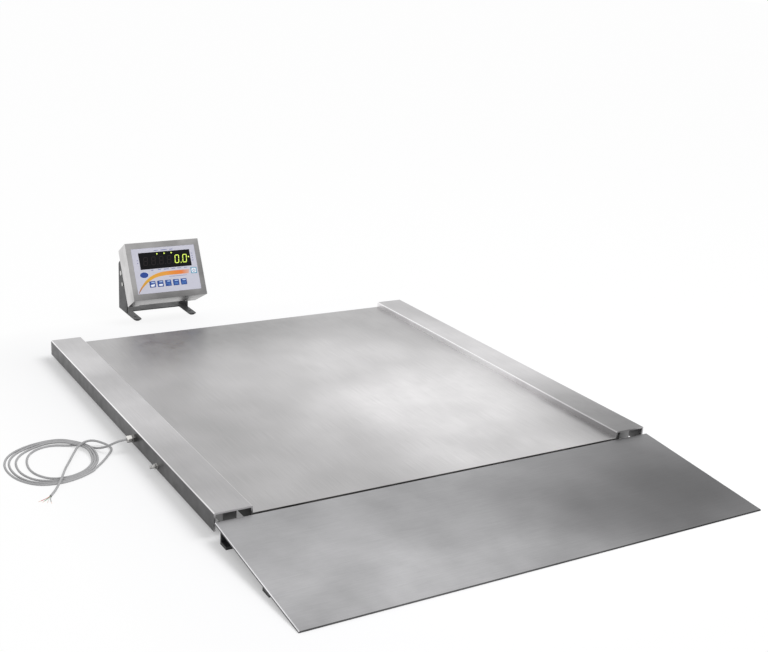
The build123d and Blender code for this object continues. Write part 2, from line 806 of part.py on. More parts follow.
def under_ramp():
    """A cutter that takes away everything above the ramp's underside."""
    y = (ramp_rear_y + 50, ramp_toe_y - 50)
    outline = [(y[0], ramp_top(y[0]) - ramp_drop), (y[1], ramp_top(y[1]) - ramp_drop),
               (y[1], ramp_rear_height + 50), (y[0], ramp_rear_height + 50)]
    profile = make_face(Polyline(*[(0, py, pz) for py, pz in outline], close=True))
    reach = ramp_half + 10
    return extrude(profile, reach, dir=(1, 0, 0)) + extrude(profile, reach, dir=(-1, 0, 0))


def locator_notches(high):
    """Cutters that let the locating plates pass under a support."""
    width = locator_width + 2 * notch_clearance
    return [block(about(side * locator_x, width), (ramp_rear_y, ramp_rear_y - 80), (-1, high))
            for side in (-1, 1)]


def support_ys():
    """Rear faces of the two angle irons under the ramp."""
    return ramp_rear_y - support_rear_distance, ramp_rear_y - support_front_distance


def ramp_supports():
    """Two angle irons across the ramp's underside, welded to it along their webs."""
    half = ramp_half - support_inset
    irons = []
    for rear in support_ys():
        web = block((-half, half), (rear - support_web, rear), (rubber_thickness, ramp_rear_height))
        flange = block((-half, half), (rear - support_web - support_flange, rear - support_web),
                       (rubber_thickness, rubber_thickness + beam_sheet))
        irons.append(web + flange - under_ramp())
    for notch in locator_notches(socket_bottom):
        irons[0] -= notch
    return group(*irons)


def ramp_rubbers():
    """Rubber strips under the supports."""
    half = ramp_half - support_inset
    rear, front = support_ys()
    depth = support_web + support_flange
    rear_strip = block((-half, half), (rear - depth, rear), (0, rubber_thickness))
    for notch in locator_notches(socket_bottom):
        rear_strip -= notch
    return group(rear_strip, block((-half, half), (front - depth, front), (0, rubber_thickness)))


def ramp_sockets():
    """Drilled plates on the rear support that drop over the platform's locating pins."""
    web_front = support_ys()[0] - support_web
    plates = []
    for side in (-1, 1):
        x = about(side * locator_x, socket_width)
        plate = block(x, (web_front - support_flange, web_front),
                      (socket_bottom, socket_bottom + socket_thickness))
        plates.append(plate - rod(locator_pin_radius + socket_clearance, (side * locator_x, locator_y, 0),
                                  (side * locator_x, locator_y, locator_pin_top)))
    return group(*plates)


def ramp_locators():
    """Plates welded under the front edge bar, each with an upright pin that keeps the ramp in place."""
    plates = []
    for side in (-1, 1):
        y = (-half_length - locator_reach, -half_length + edge_bar_width)
        plate = block(about(side * locator_x, locator_width), y,
                      (rib_clearance - locator_thickness, rib_clearance))
        pin = rod(locator_pin_radius, (side * locator_x, locator_y, rib_clearance),
                  (side * locator_x, locator_y, locator_pin_top))
        pin = chamfer(pin.edges().filter_by(GeomType.CIRCLE).group_by(Axis.Z)[-1], 1.0)
        plates.append(plate + pin)
    return group(*plates)


def plate_in_face(x, z, y, corner):
    """A plate parallel to the housing's face, with rounded corners."""
    return rounded(block(x, y, z), Axis.Y, corner)


def case_half(y, inset):
    """Half of the housing's width at this depth, less an inset."""
    return (case_width - (case_width - case_rear_width) * y / case_depth) / 2 - inset


def case_prism(front, back, inset):
    """The tapering body of the housing between two depths, made smaller all round by an inset."""
    outline = [(-case_half(front, inset), front), (case_half(front, inset), front),
               (case_half(back, inset), back), (-case_half(back, inset), back)]
    profile = make_face(Polyline(*[(x, y, 0) for x, y in outline], close=True))
    half = case_height / 2 - inset
    return extrude(profile, half, dir=(0, 0, 1)) + extrude(profile, half, dir=(0, 0, -1))


def key_centres():
    """The five function keys and then the power key, as x and z on the face."""
    return [(key_first_x + i * key_pitch, key_z) for i in range(key_count)] + [(power_key_x, power_key_z)]


def key_cutters(y):
    """Cutters that leave the fit gap round every key."""
    size = key_size + 2 * fit_gap
    return [plate_in_face(about(x, size), about(z, size), y, key_corner_radius + fit_gap)
            for x, z in key_centres()]


def window_cutter(y, margin):
    """A cutter for the display window, larger than it by a margin all round."""
    return plate_in_face(about(window_x, window_width + 2 * margin),
                         about(window_z, window_height + 2 * margin), y, 1.0 + max(margin, 0))


def case_hood():
    """The stainless hood: a folded face and four sides, with an inner rim for the rear cover."""
    hood = case_prism(0, case_depth, 0)
    hood = fillet(hood.edges().filter_by(Axis.X).group_by(Axis.Y)[0], case_corner_radius)
    hood = hood - case_prism(face_sheet, case_depth + 1, case_wall)
    hood -= plate_in_face(about(0, panel_width + 2 * fit_gap), about(0, panel_height + 2 * fit_gap),
                          (-1, panel_recess), 2.0)
    hood -= window_cutter((-1, face_sheet + 1), -window_ledge + fit_gap)
    for cutter in key_cutters((-1, face_sheet + 1)):
        hood -= cutter
    rim = case_prism(rim_y, rim_y + rim_thickness, case_wall / 2)
    rim -= case_prism(rim_y - 1, rim_y + rim_thickness + 1, case_wall + rim_width)
    hood += rim
    for x, z in cover_screw_places():
        hood -= rod(cover_screw_radius + running_clearance, (x, rim_y - 1, z),
                    (x, rim_y + rim_thickness + 1, z))
    floor = -case_height / 2
    hood -= block(about(0, 2 * notch_half_width), (case_depth - notch_depth, case_depth + 1),
                  (floor - 1, floor + case_wall + 1))
    for x in about(0, board_width - 12):
        for z in about(0, board_height - 12):
            hood += rod(standoff_radius, (x, face_sheet - 0.5, z), (x, board_y, z))
    return hood


def membrane_panel():
    """The printed front foil, cut out round the window and the keys."""
    y = (panel_recess - panel_thickness, panel_recess)
    foil = plate_in_face(about(0, panel_width), about(0, panel_height), y, 1.7)
    foil -= window_cutter((y[0] - 1, y[1] + 1), fit_gap)
    for cutter in key_cutters((y[0] - 1, y[1] + 1)):
        foil -= cutter
    return foil


def display_window():
    """The smoked window: a lens in the foil's opening and a boss that fills the hole behind it."""
    lens = window_cutter((panel_recess - panel_thickness, panel_recess), 0)
    return lens + window_cutter((panel_recess, panel_recess + window_boss), -window_ledge)


def key(x, z):
    """One key cap, standing slightly proud of the foil."""
    front = panel_recess - panel_thickness - key_proud
    cap = plate_in_face(about(x, key_size), about(z, key_size), (front, front + key_thickness),
                        key_corner_radius)
    return chamfer(cap.edges().group_by(Axis.Y)[0], 0.2)


def tact_switches():
    """Long-stemmed switches on the main board, one behind each key."""
    stem_front = panel_recess - panel_thickness - key_proud + key_thickness + key_travel + 0.05
    switches = []
    for x, z in key_centres():
        switch = block(about(x, switch_size), (board_y - switch_body, board_y), about(z, switch_size))
        switches.append(switch + rod(switch_stem_radius, (x, board_y - switch_body, z), (x, stem_front, z)))
    return group(*switches)


def digit_modules():
    """Six seven-segment blocks soldered to the main board."""
    modules = []
    for i in range(digit_count):
        x = about(digit_first_x + i * digit_pitch, digit_width)
        modules.append(block(x, (board_y - digit_depth, board_y), about(window_z - 1, digit_height)))
    return group(*modules)


def status_leds():
    """Small round lamps above and beside the digits."""
    front = board_y - digit_depth
    lamps = []
    for x, z in led_positions:
        lamp = rod(led_radius, (x, board_y, z), (x, front, z))
        lamps.append(fillet(lamp.edges().filter_by(GeomType.CIRCLE).group_by(Axis.Y)[0], led_radius * 0.8))
    return group(*lamps)


def main_board():
    """The circuit board on the hood's standoffs."""
    board = block(about(0, board_width), (board_y, board_y + board_thickness), about(0, board_height))
    for x, z in ((-70.0, -40.0), (-20.0, -45.0), (40.0, -40.0)):
        board += block(about(x, 24), (board_y + board_thickness, board_y + board_thickness + 3),
                       about(z, 18))
    return board


def cover_screw_places():
    """Screws of the rear cover along the middle of the rim, as x and z."""
    inset = case_wall + rim_width / 2
    x = case_half(rim_y, inset)
    z = case_height / 2 - inset
    return [(sx * x, sz * z) for sx in (-1, 1) for sz in (-1, 0, 1)]


def cover_gasket():
    """The seal between the rim and the rear cover."""
    y = (rim_y + rim_thickness, cover_y)
    seal = case_prism(y[0], y[1], case_wall + fit_gap)
    seal -= case_prism(y[0] - 1, y[1] + 1, case_wall + rim_width - 1)
    for x, z in cover_screw_places():
        seal -= rod(cover_screw_radius + fit_gap, (x, y[0] - 1, z), (x, y[1] + 1, z))
    return seal


def tilt_point(y, z, x):
    """A point near the tilt joint: y and z from the pivot, in the housing's frame."""
    return x, pivot_depth + y, pivot_rise + z


def tilt_lug(side):
    """An ear on the rear cover with the pivot's bore and the clamp's thread."""
    cover_back = cover_y + cover_thickness
    outline = [(pivot_depth + y if y is not None else cover_back, pivot_rise + z) for y, z in lug_outline]
    profile = make_face(Polyline(*[(0, y, z) for y, z in outline], close=True))
    ear = Pos(lug_inner_x, 0, 0) * extrude(profile, lug_thickness, dir=(1, 0, 0))
    for (y, z), radius in (((0, 0), pivot_bolt_radius), (clamp_offset, clamp_radius)):
        ear -= rod(radius + running_clearance, tilt_point(y, z, lug_inner_x - 1),
                   tilt_point(y, z, lug_inner_x + lug_thickness + 1))
    return ear if side > 0 else mirror(ear, about=Plane.YZ)


def rear_cover():
    """The plate that closes the housing, with two welded ears for the tilt joint."""
    cover = case_prism(cover_y, cover_y + cover_thickness, case_wall + fit_gap)
    for x, z in cover_screw_places():
        cover -= rod(cover_screw_radius + fit_gap, (x, cover_y - 1, z),
                     (x, cover_y + cover_thickness + 1, z))
    for x in rear_gland_xs():
        cover -= rod(rear_gland_thread_radius + gland_hole_clearance, (x, cover_y - 1, rear_gland_z),
                     (x, cover_y + cover_thickness + 1, rear_gland_z))
    return cover + tilt_lug(-1) + tilt_lug(1)


def cover_screws():
    """Pan-head screws through the cover into the rim."""
    back = cover_y + cover_thickness
    screws = []
    for x, z in cover_screw_places():
        head = rod(cover_screw_head_radius, (x, back, z), (x, back + cover_screw_head_height, z))
        head = fillet(head.edges().filter_by(GeomType.CIRCLE).group_by(Axis.Y)[-1], 1.2)
        screws.append(head + rod(cover_screw_radius, (x, back, z), (x, back - cover_screw_length, z)))
    return group(*screws)


def rear_gland_xs():
    """Places of the three closed inlets across the rear cover."""
    return [(i - 1) * rear_gland_pitch for i in range(3)]


def rear_glands():
    """Inlets for mains, load cell and data, closed with their plugs."""
    back = cover_y + cover_thickness
    glands = []
    for x in rear_gland_xs():
        def at(y, x=x):
            return x, y, rear_gland_z
        gland = hexagon(rear_gland_across, at(back), at(back + 6))
        gland += rod(rear_gland_across / 2 - 1.5, at(back + 6), at(back + 8.5))
        dome = rod(rear_gland_across / 2 - 0.5, at(back + 8.5), at(back + rear_gland_length))
        gland += fillet(dome.edges().filter_by(GeomType.CIRCLE).group_by(Axis.Y)[-1], 4.0)
        gland += rod(rear_gland_thread_radius, at(back), at(cover_y - 7))
        glands.append(gland)
    return group(*glands)


def inside_block(size, x, z, corner):
    """A block that stands on the inside of the rear cover."""
    return plate_in_face(about(x, size[0]), about(z, size[2]), (cover_y - size[1], cover_y), corner)


def arm_points():
    """The bracket arm's outline in the YZ plane, y from the pivot and z from the floor."""
    base = bracket_foot_height
    return [(y, base if z is None else pivot_height + z) for y, z in arm_outline]


def clamp_slot():
    """The curved slot that guides the clamp screw as the housing tilts."""
    y, z = clamp_offset
    radius = math.hypot(y, z)
    rest = math.degrees(math.atan2(z, y)) - tilt
    first = rest - tilt_back_limit - clamp_slot_spare
    sweep_angle = tilt + tilt_back_limit + 2 * clamp_slot_spare
    slot = SlotArc(CenterArc((0, 0), radius, first, sweep_angle), 2 * (clamp_radius + clamp_slot_clearance))
    plane = Plane(origin=(0, 0, pivot_height), x_dir=(0, 1, 0), z_dir=(1, 0, 0))
    return extrude(plane * slot, bracket_half + 10, both=True)


def bracket():
    """One folded sheet: two arms, a strap across the back and a leg forward on each side."""
    low = bracket_foot_height
    high = low + bracket_sheet
    frame = block((-bracket_half, bracket_half),
                  (bracket_rear_reach - bracket_strap_depth, bracket_rear_reach), (low, high))
    arm_face = make_face(Polyline(*[(0, y, z) for y, z in arm_points()], close=True))
    arm = extrude(arm_face, bracket_sheet, dir=(1, 0, 0))
    tops = arm.edges().filter_by(Axis.X).sort_by(Axis.Z)[2:]
    arm = fillet(tops, arm_corner_radius)
    for side in (-1, 1):
        x = sorted((side * bracket_half, side * (bracket_half - bracket_leg_width)))
        leg = block(x, (-bracket_front_reach, bracket_rear_reach), (low, high))
        leg = fillet(leg.edges().filter_by(Axis.Z).group_by(Axis.Y)[0], 6.0)
        frame += leg
        frame += Pos(side * (bracket_half - bracket_sheet / 2) - bracket_sheet / 2, 0, 0) * arm
    frame -= clamp_slot()
    frame -= rod(pivot_bolt_radius + fit_gap / 3, (-bracket_half - 5, 0, pivot_height),
                 (bracket_half + 5, 0, pivot_height))
    for x, y in bracket_holes():
        frame -= rod(bracket_hole_radius, (x, y, low - 1), (x, y, high + 1))
    return frame


def leg_middle():
    """Distance of a leg's centre line from the bracket's middle."""
    return bracket_half - bracket_leg_width / 2


def bracket_holes():
    """Four fixing holes, as x and y from the pivot."""
    return [(side * leg_middle(), y) for side in (-1, 1) for y in (-bracket_hole_front, bracket_hole_rear)]


def bracket_feet():
    """Four rubber feet under the bracket."""
    ys = (-bracket_front_reach + bracket_foot_inset, bracket_rear_reach - bracket_foot_inset)
    return group(*[rod(bracket_foot_radius, (side * leg_middle(), y, 0),
                       (side * leg_middle(), y, bracket_foot_height)) for side in (-1, 1) for y in ys])


def pivot_bolts():
    """Shoulder bolts through the arms and ears, each with a nut inside its ear."""
    bolts = []
    for side in (-1, 1):
        def at(x, side=side):
            return side * x, 0, pivot_height
        head = hexagon(pivot_head_across, at(bracket_half), at(bracket_half + pivot_head_length))
        nut_start = lug_inner_x - 0.2
        nut = hexagon(pivot_head_across, at(nut_start), at(nut_start - pivot_head_length))
        bolts.append(head + rod(pivot_bolt_radius, at(bracket_half), at(nut_start)) + nut)
    return group(*bolts)


def clamp_screw(side):
    """A knurled thumbscrew through the arm's slot into the ear."""
    y, z = clamp_offset
    inner = lug_inner_x - 3
    head = rod(clamp_head_radius, tilt_point(y, z, side * (bracket_half + fit_gap)),
               tilt_point(y, z, side * (bracket_half + clamp_head_length)))
    head = chamfer(head.edges().filter_by(GeomType.CIRCLE), 0.8)
    shank = rod(clamp_radius, tilt_point(y, z, side * (bracket_half + 1)), tilt_point(y, z, side * inner))
    return head + shank


write("deck_plate", deck_plate())
write("deck_ribs", deck_ribs())
write("edge_bars", edge_bars())
write("side_beam_left", side_beam(-1))
write("side_beam_right", side_beam(1))
write("cell_blocks", cell_blocks())
write("load_cells", load_cells())
write("load_cell_bolts", load_cell_bolts())
write("foot_locknuts", foot_locknuts())
for side_y, row in ((-1, "front"), (1, "rear")):
    for side_x, hand in ((-1, "left"), (1, "right")):
        write(f"foot_{row}_{hand}", foot(side_x, side_y))

write("junction_box", junction_box())
write("junction_gasket", junction_gasket())
write("junction_lid", junction_lid())
write("junction_screws", junction_screws())
write("junction_board", junction_board())
write("terminal_blocks", terminal_blocks())
write("junction_glands", junction_glands())
write("cell_cables", cell_cables())
write("cross_conduit", cross_conduit())
write("cable_clips", cable_clips())
write("cable_gland", cable_gland())
write("gland_cap", gland_cap())
write("earth_stud", earth_stud())
write("earth_nut", earth_nut())

write("platform_cable_lead", tube(from_mouth(lead_route), cable_diameter, "lead"))
write("platform_cable_tail", tube(from_mouth(tail_route), cable_diameter, "tail"))
write("platform_cable_coil", cable_coil())
write("cable_cores", cable_cores())

write("ramp_plate", ramp_plate())
write("ramp_supports", ramp_supports())
write("ramp_rubbers", ramp_rubbers())
write("ramp_sockets", ramp_sockets())
write("ramp_locators", ramp_locators())

write("bracket", bracket_place * bracket())
write("bracket_feet", bracket_place * bracket_feet())
write("pivot_bolts", bracket_place * pivot_bolts())
write("case_hood", case_place * case_hood())
write("membrane_panel", case_place * membrane_panel())
write("display_window", case_place * display_window())
write("digit_modules", case_place * digit_modules())
write("status_leds", case_place * status_leds())
write("main_board", case_place * main_board())
write("tact_switches", case_place * tact_switches())
write("power_supply", case_place * inside_block(supply_size, supply_x, supply_z, 3.0))
write("battery", case_place * inside_block(battery_size, battery_x, battery_z, 2.0))
write("rear_cover", case_place * rear_cover())
write("cover_gasket", case_place * cover_gasket())
write("cover_screws", case_place * cover_screws())
write("rear_glands", case_place * rear_glands())
write("clamp_screw_left", case_place * clamp_screw(-1))
write("clamp_screw_right", case_place * clamp_screw(1))
for number, (x, z) in enumerate(key_centres()):
    name = f"key_{number + 1}" if number < key_count else "power_key"
    write(name, case_place * key(x, z))

print("gland mouth", mouth)
print("pivot", indicator_x, round(pivot_y, 3), pivot_height)
print("foot centres", beam_middle, round(foot_y, 3))
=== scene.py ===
# Dresses a low drive-on floor scale with its ramp, coiled signal cable and tilting display.
# Everything is in metres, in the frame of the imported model: X right, Y back, Z up.
import math

import bpy
import mathutils
import numpy as np
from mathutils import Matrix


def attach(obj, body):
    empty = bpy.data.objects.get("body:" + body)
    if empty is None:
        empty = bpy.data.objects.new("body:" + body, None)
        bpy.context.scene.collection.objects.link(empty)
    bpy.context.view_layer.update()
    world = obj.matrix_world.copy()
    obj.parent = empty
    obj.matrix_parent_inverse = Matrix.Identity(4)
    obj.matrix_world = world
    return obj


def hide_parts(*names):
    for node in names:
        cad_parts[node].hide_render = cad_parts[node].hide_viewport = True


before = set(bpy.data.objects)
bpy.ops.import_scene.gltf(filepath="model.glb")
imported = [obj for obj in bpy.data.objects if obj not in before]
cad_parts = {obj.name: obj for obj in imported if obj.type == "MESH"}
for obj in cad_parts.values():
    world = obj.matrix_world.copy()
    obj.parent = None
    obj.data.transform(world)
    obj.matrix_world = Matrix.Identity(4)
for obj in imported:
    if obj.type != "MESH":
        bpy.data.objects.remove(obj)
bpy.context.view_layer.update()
scene = bpy.context.scene
mm = 0.001
print("stage: frame loaded,", len(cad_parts), "nodes")


# Camera: stands in front of the ramp's left corner and looks down the lane
cameraSettings = {
    "place": (-1.501098, -2.734633, 1.217693),
    "azimuth": -31.385,
    "elevation": 17.685,
    "roll": 3.155,
    "focalPixels": 1199.522,
    "imageWidth": 768,
}


def aimCamera(settings):
    turn, lift, roll = np.radians([settings["azimuth"], settings["elevation"], settings["roll"]])
    back = np.array([np.sin(turn) * np.cos(lift), -np.cos(turn) * np.cos(lift), np.sin(lift)])
    level = np.array([np.cos(turn), np.sin(turn), 0.0])
    rise = np.cross(back, level)
    right = np.cos(roll) * level + np.sin(roll) * rise
    up = np.cos(roll) * rise - np.sin(roll) * level
    matrix = np.eye(4)
    matrix[:3, 0], matrix[:3, 1], matrix[:3, 2] = right, up, back
    matrix[:3, 3] = settings["place"]
    data = bpy.data.cameras.new("photoCamera")
    data.sensor_fit = "HORIZONTAL"
    data.sensor_width = 36.0
    data.lens = settings["focalPixels"] * data.sensor_width / settings["imageWidth"]
    data.clip_end = 60.0
    camera = bpy.data.objects.new("photoCamera", data)
    scene.collection.objects.link(camera)
    camera.matrix_world = mathutils.Matrix(matrix.tolist())
    scene.camera = camera


aimCamera(cameraSettings)
print("stage: camera placed")


# Studio: white all round, one large soft lamp above and a weaker one from the left
studioSettings = {
    "ambient": 0.62,
    "floorSize": 60.0,
    "floorMiddle": (0.0, -0.2),
    "floorReach": (0.56, 0.78),
    "floorFade": 0.34,
    "floorGlow": (0.2, 0.97),
    "keyPower": 95.0,
    "keyPlace": (1.6, -0.6, 3.4),
    "keySize": 2.6,
    "fillPower": 22.0,
    "fillPlace": (-3.2, -2.4, 2.2),
    "fillSize": 2.2,
}


def newNode(nodes, kind, **values):
    node = nodes.new(kind)
    for key, value in values.items():
        if hasattr(node, key):
            setattr(node, key, value)
        else:
            node.inputs[key].default_value = value
    return node


def combine(nodes, links, first, second, operation):
    node = newNode(nodes, "ShaderNodeMath", operation=operation)
    for slot, value in enumerate((first, second)):
        if isinstance(value, (int, float)):
            node.inputs[slot].default_value = value
        else:
            links.new(value, node.inputs[slot])
    return node.outputs[0]


def spread(nodes, links, source, low, high, fromLow=0.3, fromHigh=0.7):
    # the middle of a noise's range opened out to low..high
    stretchNode = newNode(nodes, "ShaderNodeMapRange", clamp=True)
    stretchNode.inputs["From Min"].default_value = fromLow
    stretchNode.inputs["From Max"].default_value = fromHigh
    stretchNode.inputs["To Min"].default_value = low
    stretchNode.inputs["To Max"].default_value = high
    links.new(source, stretchNode.inputs["Value"])
    return stretchNode.outputs["Result"]


def seenDirectly(nodes, links):
    # 1 for rays from the camera, from a gloss or through glass, and 0 for soft light
    path = nodes.new("ShaderNodeLightPath")
    bright = combine(nodes, links, path.outputs["Is Camera Ray"], path.outputs["Is Glossy Ray"], "MAXIMUM")
    return combine(nodes, links, bright, path.outputs["Is Transmission Ray"], "MAXIMUM")


def lightWorld(settings):
    world = bpy.data.worlds.new("studio")
    world.use_nodes = True
    nodes, links = world.node_tree.nodes, world.node_tree.links
    nodes.clear()
    soft = newNode(nodes, "ShaderNodeBackground", Strength=settings["ambient"])
    white = newNode(nodes, "ShaderNodeBackground", Strength=1.0)
    for shader in (soft, white):
        shader.inputs["Color"].default_value = (1.0, 1.0, 1.0, 1.0)
    pick = nodes.new("ShaderNodeMixShader")
    links.new(seenDirectly(nodes, links), pick.inputs[0])
    links.new(soft.outputs[0], pick.inputs[1])
    links.new(white.outputs[0], pick.inputs[2])
    links.new(pick.outputs[0], nodes.new("ShaderNodeOutputWorld").inputs[0])
    scene.world = world


def addLamp(name, place, power, size, target=(0.0, 0.0, 0.0)):
    data = bpy.data.lights.new(name, "AREA")
    data.shape = "DISK"
    data.size = size
    data.energy = power
    lamp = bpy.data.objects.new(name, data)
    scene.collection.objects.link(lamp)
    away = np.array(place) - np.array(target)
    away = away / np.linalg.norm(away)
    side = np.cross((0.0, 0.0, 1.0), away)
    side = side / np.linalg.norm(side)
    matrix = np.eye(4)
    matrix[:3, 0], matrix[:3, 1], matrix[:3, 2] = side, np.cross(away, side), away
    matrix[:3, 3] = place
    lamp.matrix_world = mathutils.Matrix(matrix.tolist())
    lamp.visible_glossy = False
    return lamp


def whiteFloor(settings):
    half = settings["floorSize"] / 2
    corners = np.array([[-half, -half, 0], [half, -half, 0], [half, half, 0], [-half, half, 0]])
    mesh = bpy.data.meshes.new("floor")
    mesh.from_pydata(corners.tolist(), [], [[0, 1, 2, 3]])
    floor = bpy.data.objects.new("floor", mesh)
    scene.collection.objects.link(floor)
    material = bpy.data.materials.new("whiteFloor")
    material.use_nodes = True
    nodes, links = material.node_tree.nodes, material.node_tree.links
    nodes.clear()
    paint = newNode(nodes, "ShaderNodeBsdfDiffuse")
    paint.inputs["Color"].default_value = (0.86, 0.86, 0.87, 1.0)
    glow = newNode(nodes, "ShaderNodeEmission", Strength=1.0)
    # distance from the rectangle that the object stands on; the glow grows with it
    place = nodes.new("ShaderNodeTexCoord")
    axes = nodes.new("ShaderNodeSeparateXYZ")
    links.new(place.outputs["Object"], axes.inputs[0])
    outside = []
    for axis, middle, reach in zip("XY", settings["floorMiddle"], settings["floorReach"]):
        offset = combine(nodes, links, axes.outputs[axis], middle, "SUBTRACT")
        offset = combine(nodes, links, combine(nodes, links, offset, 0.0, "ABSOLUTE"), reach, "SUBTRACT")
        outside.append(combine(nodes, links, combine(nodes, links, offset, 0.0, "MAXIMUM"), 2.0, "POWER"))
    distance = combine(nodes, links, combine(nodes, links, *outside, "ADD"), 0.5, "POWER")
    glowShare = spread(nodes, links, distance, *settings["floorGlow"], 0.0, settings["floorFade"])
    share = combine(nodes, links, seenDirectly(nodes, links), glowShare, "MULTIPLY")
    mix = nodes.new("ShaderNodeMixShader")
    links.new(share, mix.inputs[0])
    links.new(paint.outputs[0], mix.inputs[1])
    links.new(glow.outputs[0], mix.inputs[2])
    links.new(mix.outputs[0], nodes.new("ShaderNodeOutputMaterial").inputs[0])
    mesh.materials.append(material)


lightWorld(studioSettings)
addLamp("keyLamp", studioSettings["keyPlace"], studioSettings["keyPower"], studioSettings["keySize"])
addLamp("fillLamp", studioSettings["fillPlace"], studioSettings["fillPower"], studioSettings["fillSize"])
whiteFloor(studioSettings)
scene.view_settings.view_transform = "Standard"
print("stage: studio lit")


# Finishes
def newFinish(name):
    material = bpy.data.materials.new(name)
    material.use_nodes = True
    nodes = material.node_tree.nodes
    nodes.clear()
    output = nodes.new("ShaderNodeOutputMaterial")
    shader = nodes.new("ShaderNodeBsdfPrincipled")
    material.node_tree.links.new(shader.outputs[0], output.inputs[0])
    return material, nodes, material.node_tree.links, shader


def objectNoise(nodes, links, scale, stretch=(1.0, 1.0, 1.0), detail=4.0, turn=(0.0, 0.0, 0.0)):
    # noise on the piece's own coordinates, drawn out along one axis by a small scale there
    place = nodes.new("ShaderNodeTexCoord")
    squeeze = newNode(nodes, "ShaderNodeMapping", vector_type="TEXTURE")
    squeeze.inputs["Rotation"].default_value = turn
    squeeze.inputs["Scale"].default_value = [1.0 / part for part in stretch]
    noise = newNode(nodes, "ShaderNodeTexNoise", Scale=scale, Detail=detail, Roughness=0.55)
    links.new(place.outputs["Object"], squeeze.inputs["Vector"])
    links.new(squeeze.outputs["Vector"], noise.inputs["Vector"])
    return noise.outputs["Fac"]


def tinted(nodes, links, value, tint):
    # a grey value times a tint
    paint = newNode(nodes, "ShaderNodeMix", data_type="RGBA", blend_type="MULTIPLY")
    paint.inputs["Factor"].default_value = 1.0
    paint.inputs["A"].default_value = (*tint, 1.0)
    grey = nodes.new("ShaderNodeCombineColor")
    for channel in ("Red", "Green", "Blue"):
        links.new(value, grey.inputs[channel])
    links.new(grey.outputs[0], paint.inputs["B"])
    return paint.outputs["Result"]


def grainBump(nodes, links, shader, source, strength, distance):
    bump = newNode(nodes, "ShaderNodeBump", Strength=strength, Distance=distance)
    links.new(source, bump.inputs["Height"])
    links.new(bump.outputs["Normal"], shader.inputs["Normal"])


def paintedLightTone(nodes, links, paintedLightOvals):
    # 1 plus soft oval patches of painted highlight (a positive gain) and painted shade (a negative gain), each with
    # its middle, its half sizes and its gain there
    total = 1.0
    for middle, halfSizes, gain in paintedLightOvals:
        place = nodes.new("ShaderNodeTexCoord")
        squeeze = newNode(nodes, "ShaderNodeMapping", vector_type="TEXTURE")
        squeeze.inputs["Location"].default_value = middle
        squeeze.inputs["Scale"].default_value = halfSizes
        oval = newNode(nodes, "ShaderNodeTexGradient", gradient_type="SPHERICAL")
        soft = newNode(nodes, "ShaderNodeMapRange", interpolation_type="SMOOTHSTEP")
        soft.inputs["To Max"].default_value = gain
        links.new(place.outputs["Object"], squeeze.inputs["Vector"])
        links.new(squeeze.outputs["Vector"], oval.inputs["Vector"])
        links.new(oval.outputs["Fac"], soft.inputs["Value"])
        total = combine(nodes, links, soft.outputs["Result"], total, "ADD")
    return total


def outwardShare(nodes, links, facing):
    # 1 on upright faces that look away from the middle of the object, 0 on all others; these keep the painted wall
    # shade, and the others are painted lighter
    place = nodes.new("ShaderNodeTexCoord")
    axes = nodes.new("ShaderNodeSeparateXYZ")
    links.new(place.outputs["Object"], axes.inputs[0])
    away = combine(nodes, links, facing.outputs["X"], axes.outputs["X"], "MULTIPLY")
    return spread(nodes, links, away, 0.0, 1.0, 0.3, 0.5)


